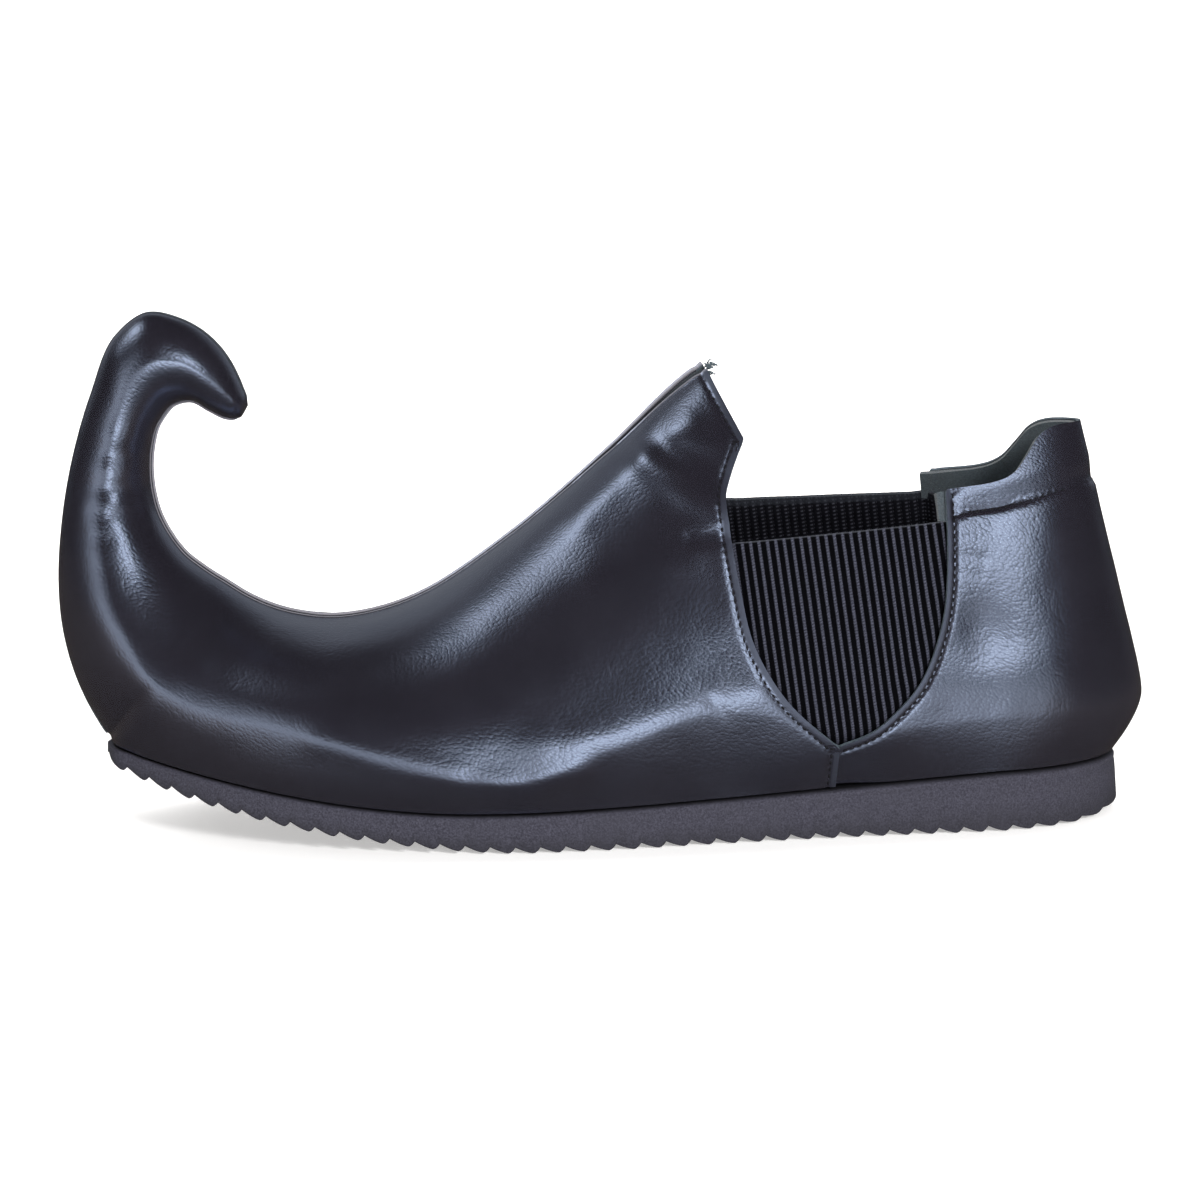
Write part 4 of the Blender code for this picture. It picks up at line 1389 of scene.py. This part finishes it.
def soft_box(name, size, power, place, turn):
    """A lamp that lights cloth and floor but isn't mirrored: the world gives the leather its sheen."""
    lamp = bpy.data.lights.new(name, "AREA")
    lamp.shape = "RECTANGLE"
    lamp.size, lamp.size_y = size
    lamp.energy = power
    made = bpy.data.objects.new(name, lamp)
    made.location = place
    made.rotation_euler = turn
    made.visible_camera = False
    made.visible_glossy = False
    bpy.context.scene.collection.objects.link(made)


def make_lights():
    """Soft boxes round the shoe, and one behind it that lights the floor's sweep."""
    for name, bearing, height, distance, size, power in SOFT_BOXES:
        away = towards(bearing, height)
        soft_box(name, size, power, Vector(AIM) + away * distance, away.to_track_quat("Z", "Y").to_euler())
    soft_box("sweep_box", (4.0, 0.8), 110.0, (0.0, 0.6, 1.6), (math.radians(65.0), 0.0, 0.0))


def make_world():
    """A dim surround for the leather to mirror: the lit table in front, soft glows and a backdrop."""
    paint = Paint("studio", "worlds")
    heading = paint.node("ShaderNodeTexCoord", {}, {}, "Generated")
    back, rise = (paint.node("ShaderNodeSeparateXYZ", {}, {"Vector": heading}, axis) for axis in "YZ")

    def facing(bearing, height):
        """The cosine of the angle from a direction."""
        return paint.node("ShaderNodeVectorMath", {"operation": "DOT_PRODUCT"},
                          {0: heading, 1: towards(bearing, height)}, "Value")

    floor = (-rise).step(-0.02, 0.12)
    front = (facing(-4.0, 0.0) / (1.0 - rise * rise) ** 0.5 + 0.3 * rise).step(0.45, 0.75)
    table = front * (1.0 - (-rise).step(0.08, 0.68)) * (-rise).step(-0.15, -0.01)
    backdrop = back.step(0.3, 0.8) * rise.step(-0.05, 0.2) * (1.0 - rise.step(0.6, 0.88))
    tone = paint.mix(floor * (1.0 - front), (0.96, 0.98, 1.0), (1.0, 0.80, 0.66))
    glow = 0.012 + 0.09 * floor * (1.0 - 0.6 * (-rise).step(0.15, 0.8)) + 0.95 * table + 0.4 * backdrop
    for bearing, height, width, strength in GLOWS:
        fall = (facing(bearing, height) - 1.0) / (1.0 - math.cos(math.radians(width)))
        glow = glow + strength * fall.math("EXPONENT")
    bpy.context.scene.world = paint.finish(Color=tone, Strength=glow)


def make_camera():
    """The camera at the photograph's angle: a little above the shoe's outer side, rolled slightly."""
    tilt, roll = math.radians(CAMERA_TILT), math.radians(CAMERA_ROLL)
    right = Vector((math.cos(roll), 0.0, -math.sin(roll)))
    up = Vector((math.cos(tilt) * math.sin(roll), math.sin(tilt), math.cos(tilt) * math.cos(roll)))
    back = right.cross(up)
    lens = bpy.data.cameras.new("camera")
    lens.sensor_fit = "HORIZONTAL"
    lens.sensor_width = SENSOR_WIDE
    lens.lens = LENS_LENGTH
    lens.clip_end = 50.0
    camera = bpy.data.objects.new("camera", lens)
    turn = Matrix((right, up, back)).transposed().to_4x4()
    camera.matrix_world = Matrix.Translation(CAMERA_PLACE) @ turn
    bpy.context.scene.collection.objects.link(camera)
    bpy.context.scene.camera = camera


make_vamp("vamp_lateral", -1)
make_vamp("vamp_medial", 1)
make_quarter()
make_heel_lining()
make_gore("elastic_lateral", -1, "gore_lateral")
make_gore("elastic_medial", 1, "gore_medial")
make_sole()
make_insole()
make_stitches()
make_fray()
make_floor()
make_lights()
make_world()
make_camera()
bpy.context.scene.view_settings.view_transform = "Standard"

boxes = {"cad": cad_box, "visual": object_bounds()}
{name: [list(corner) for corner in box] for name, box in boxes.items()}
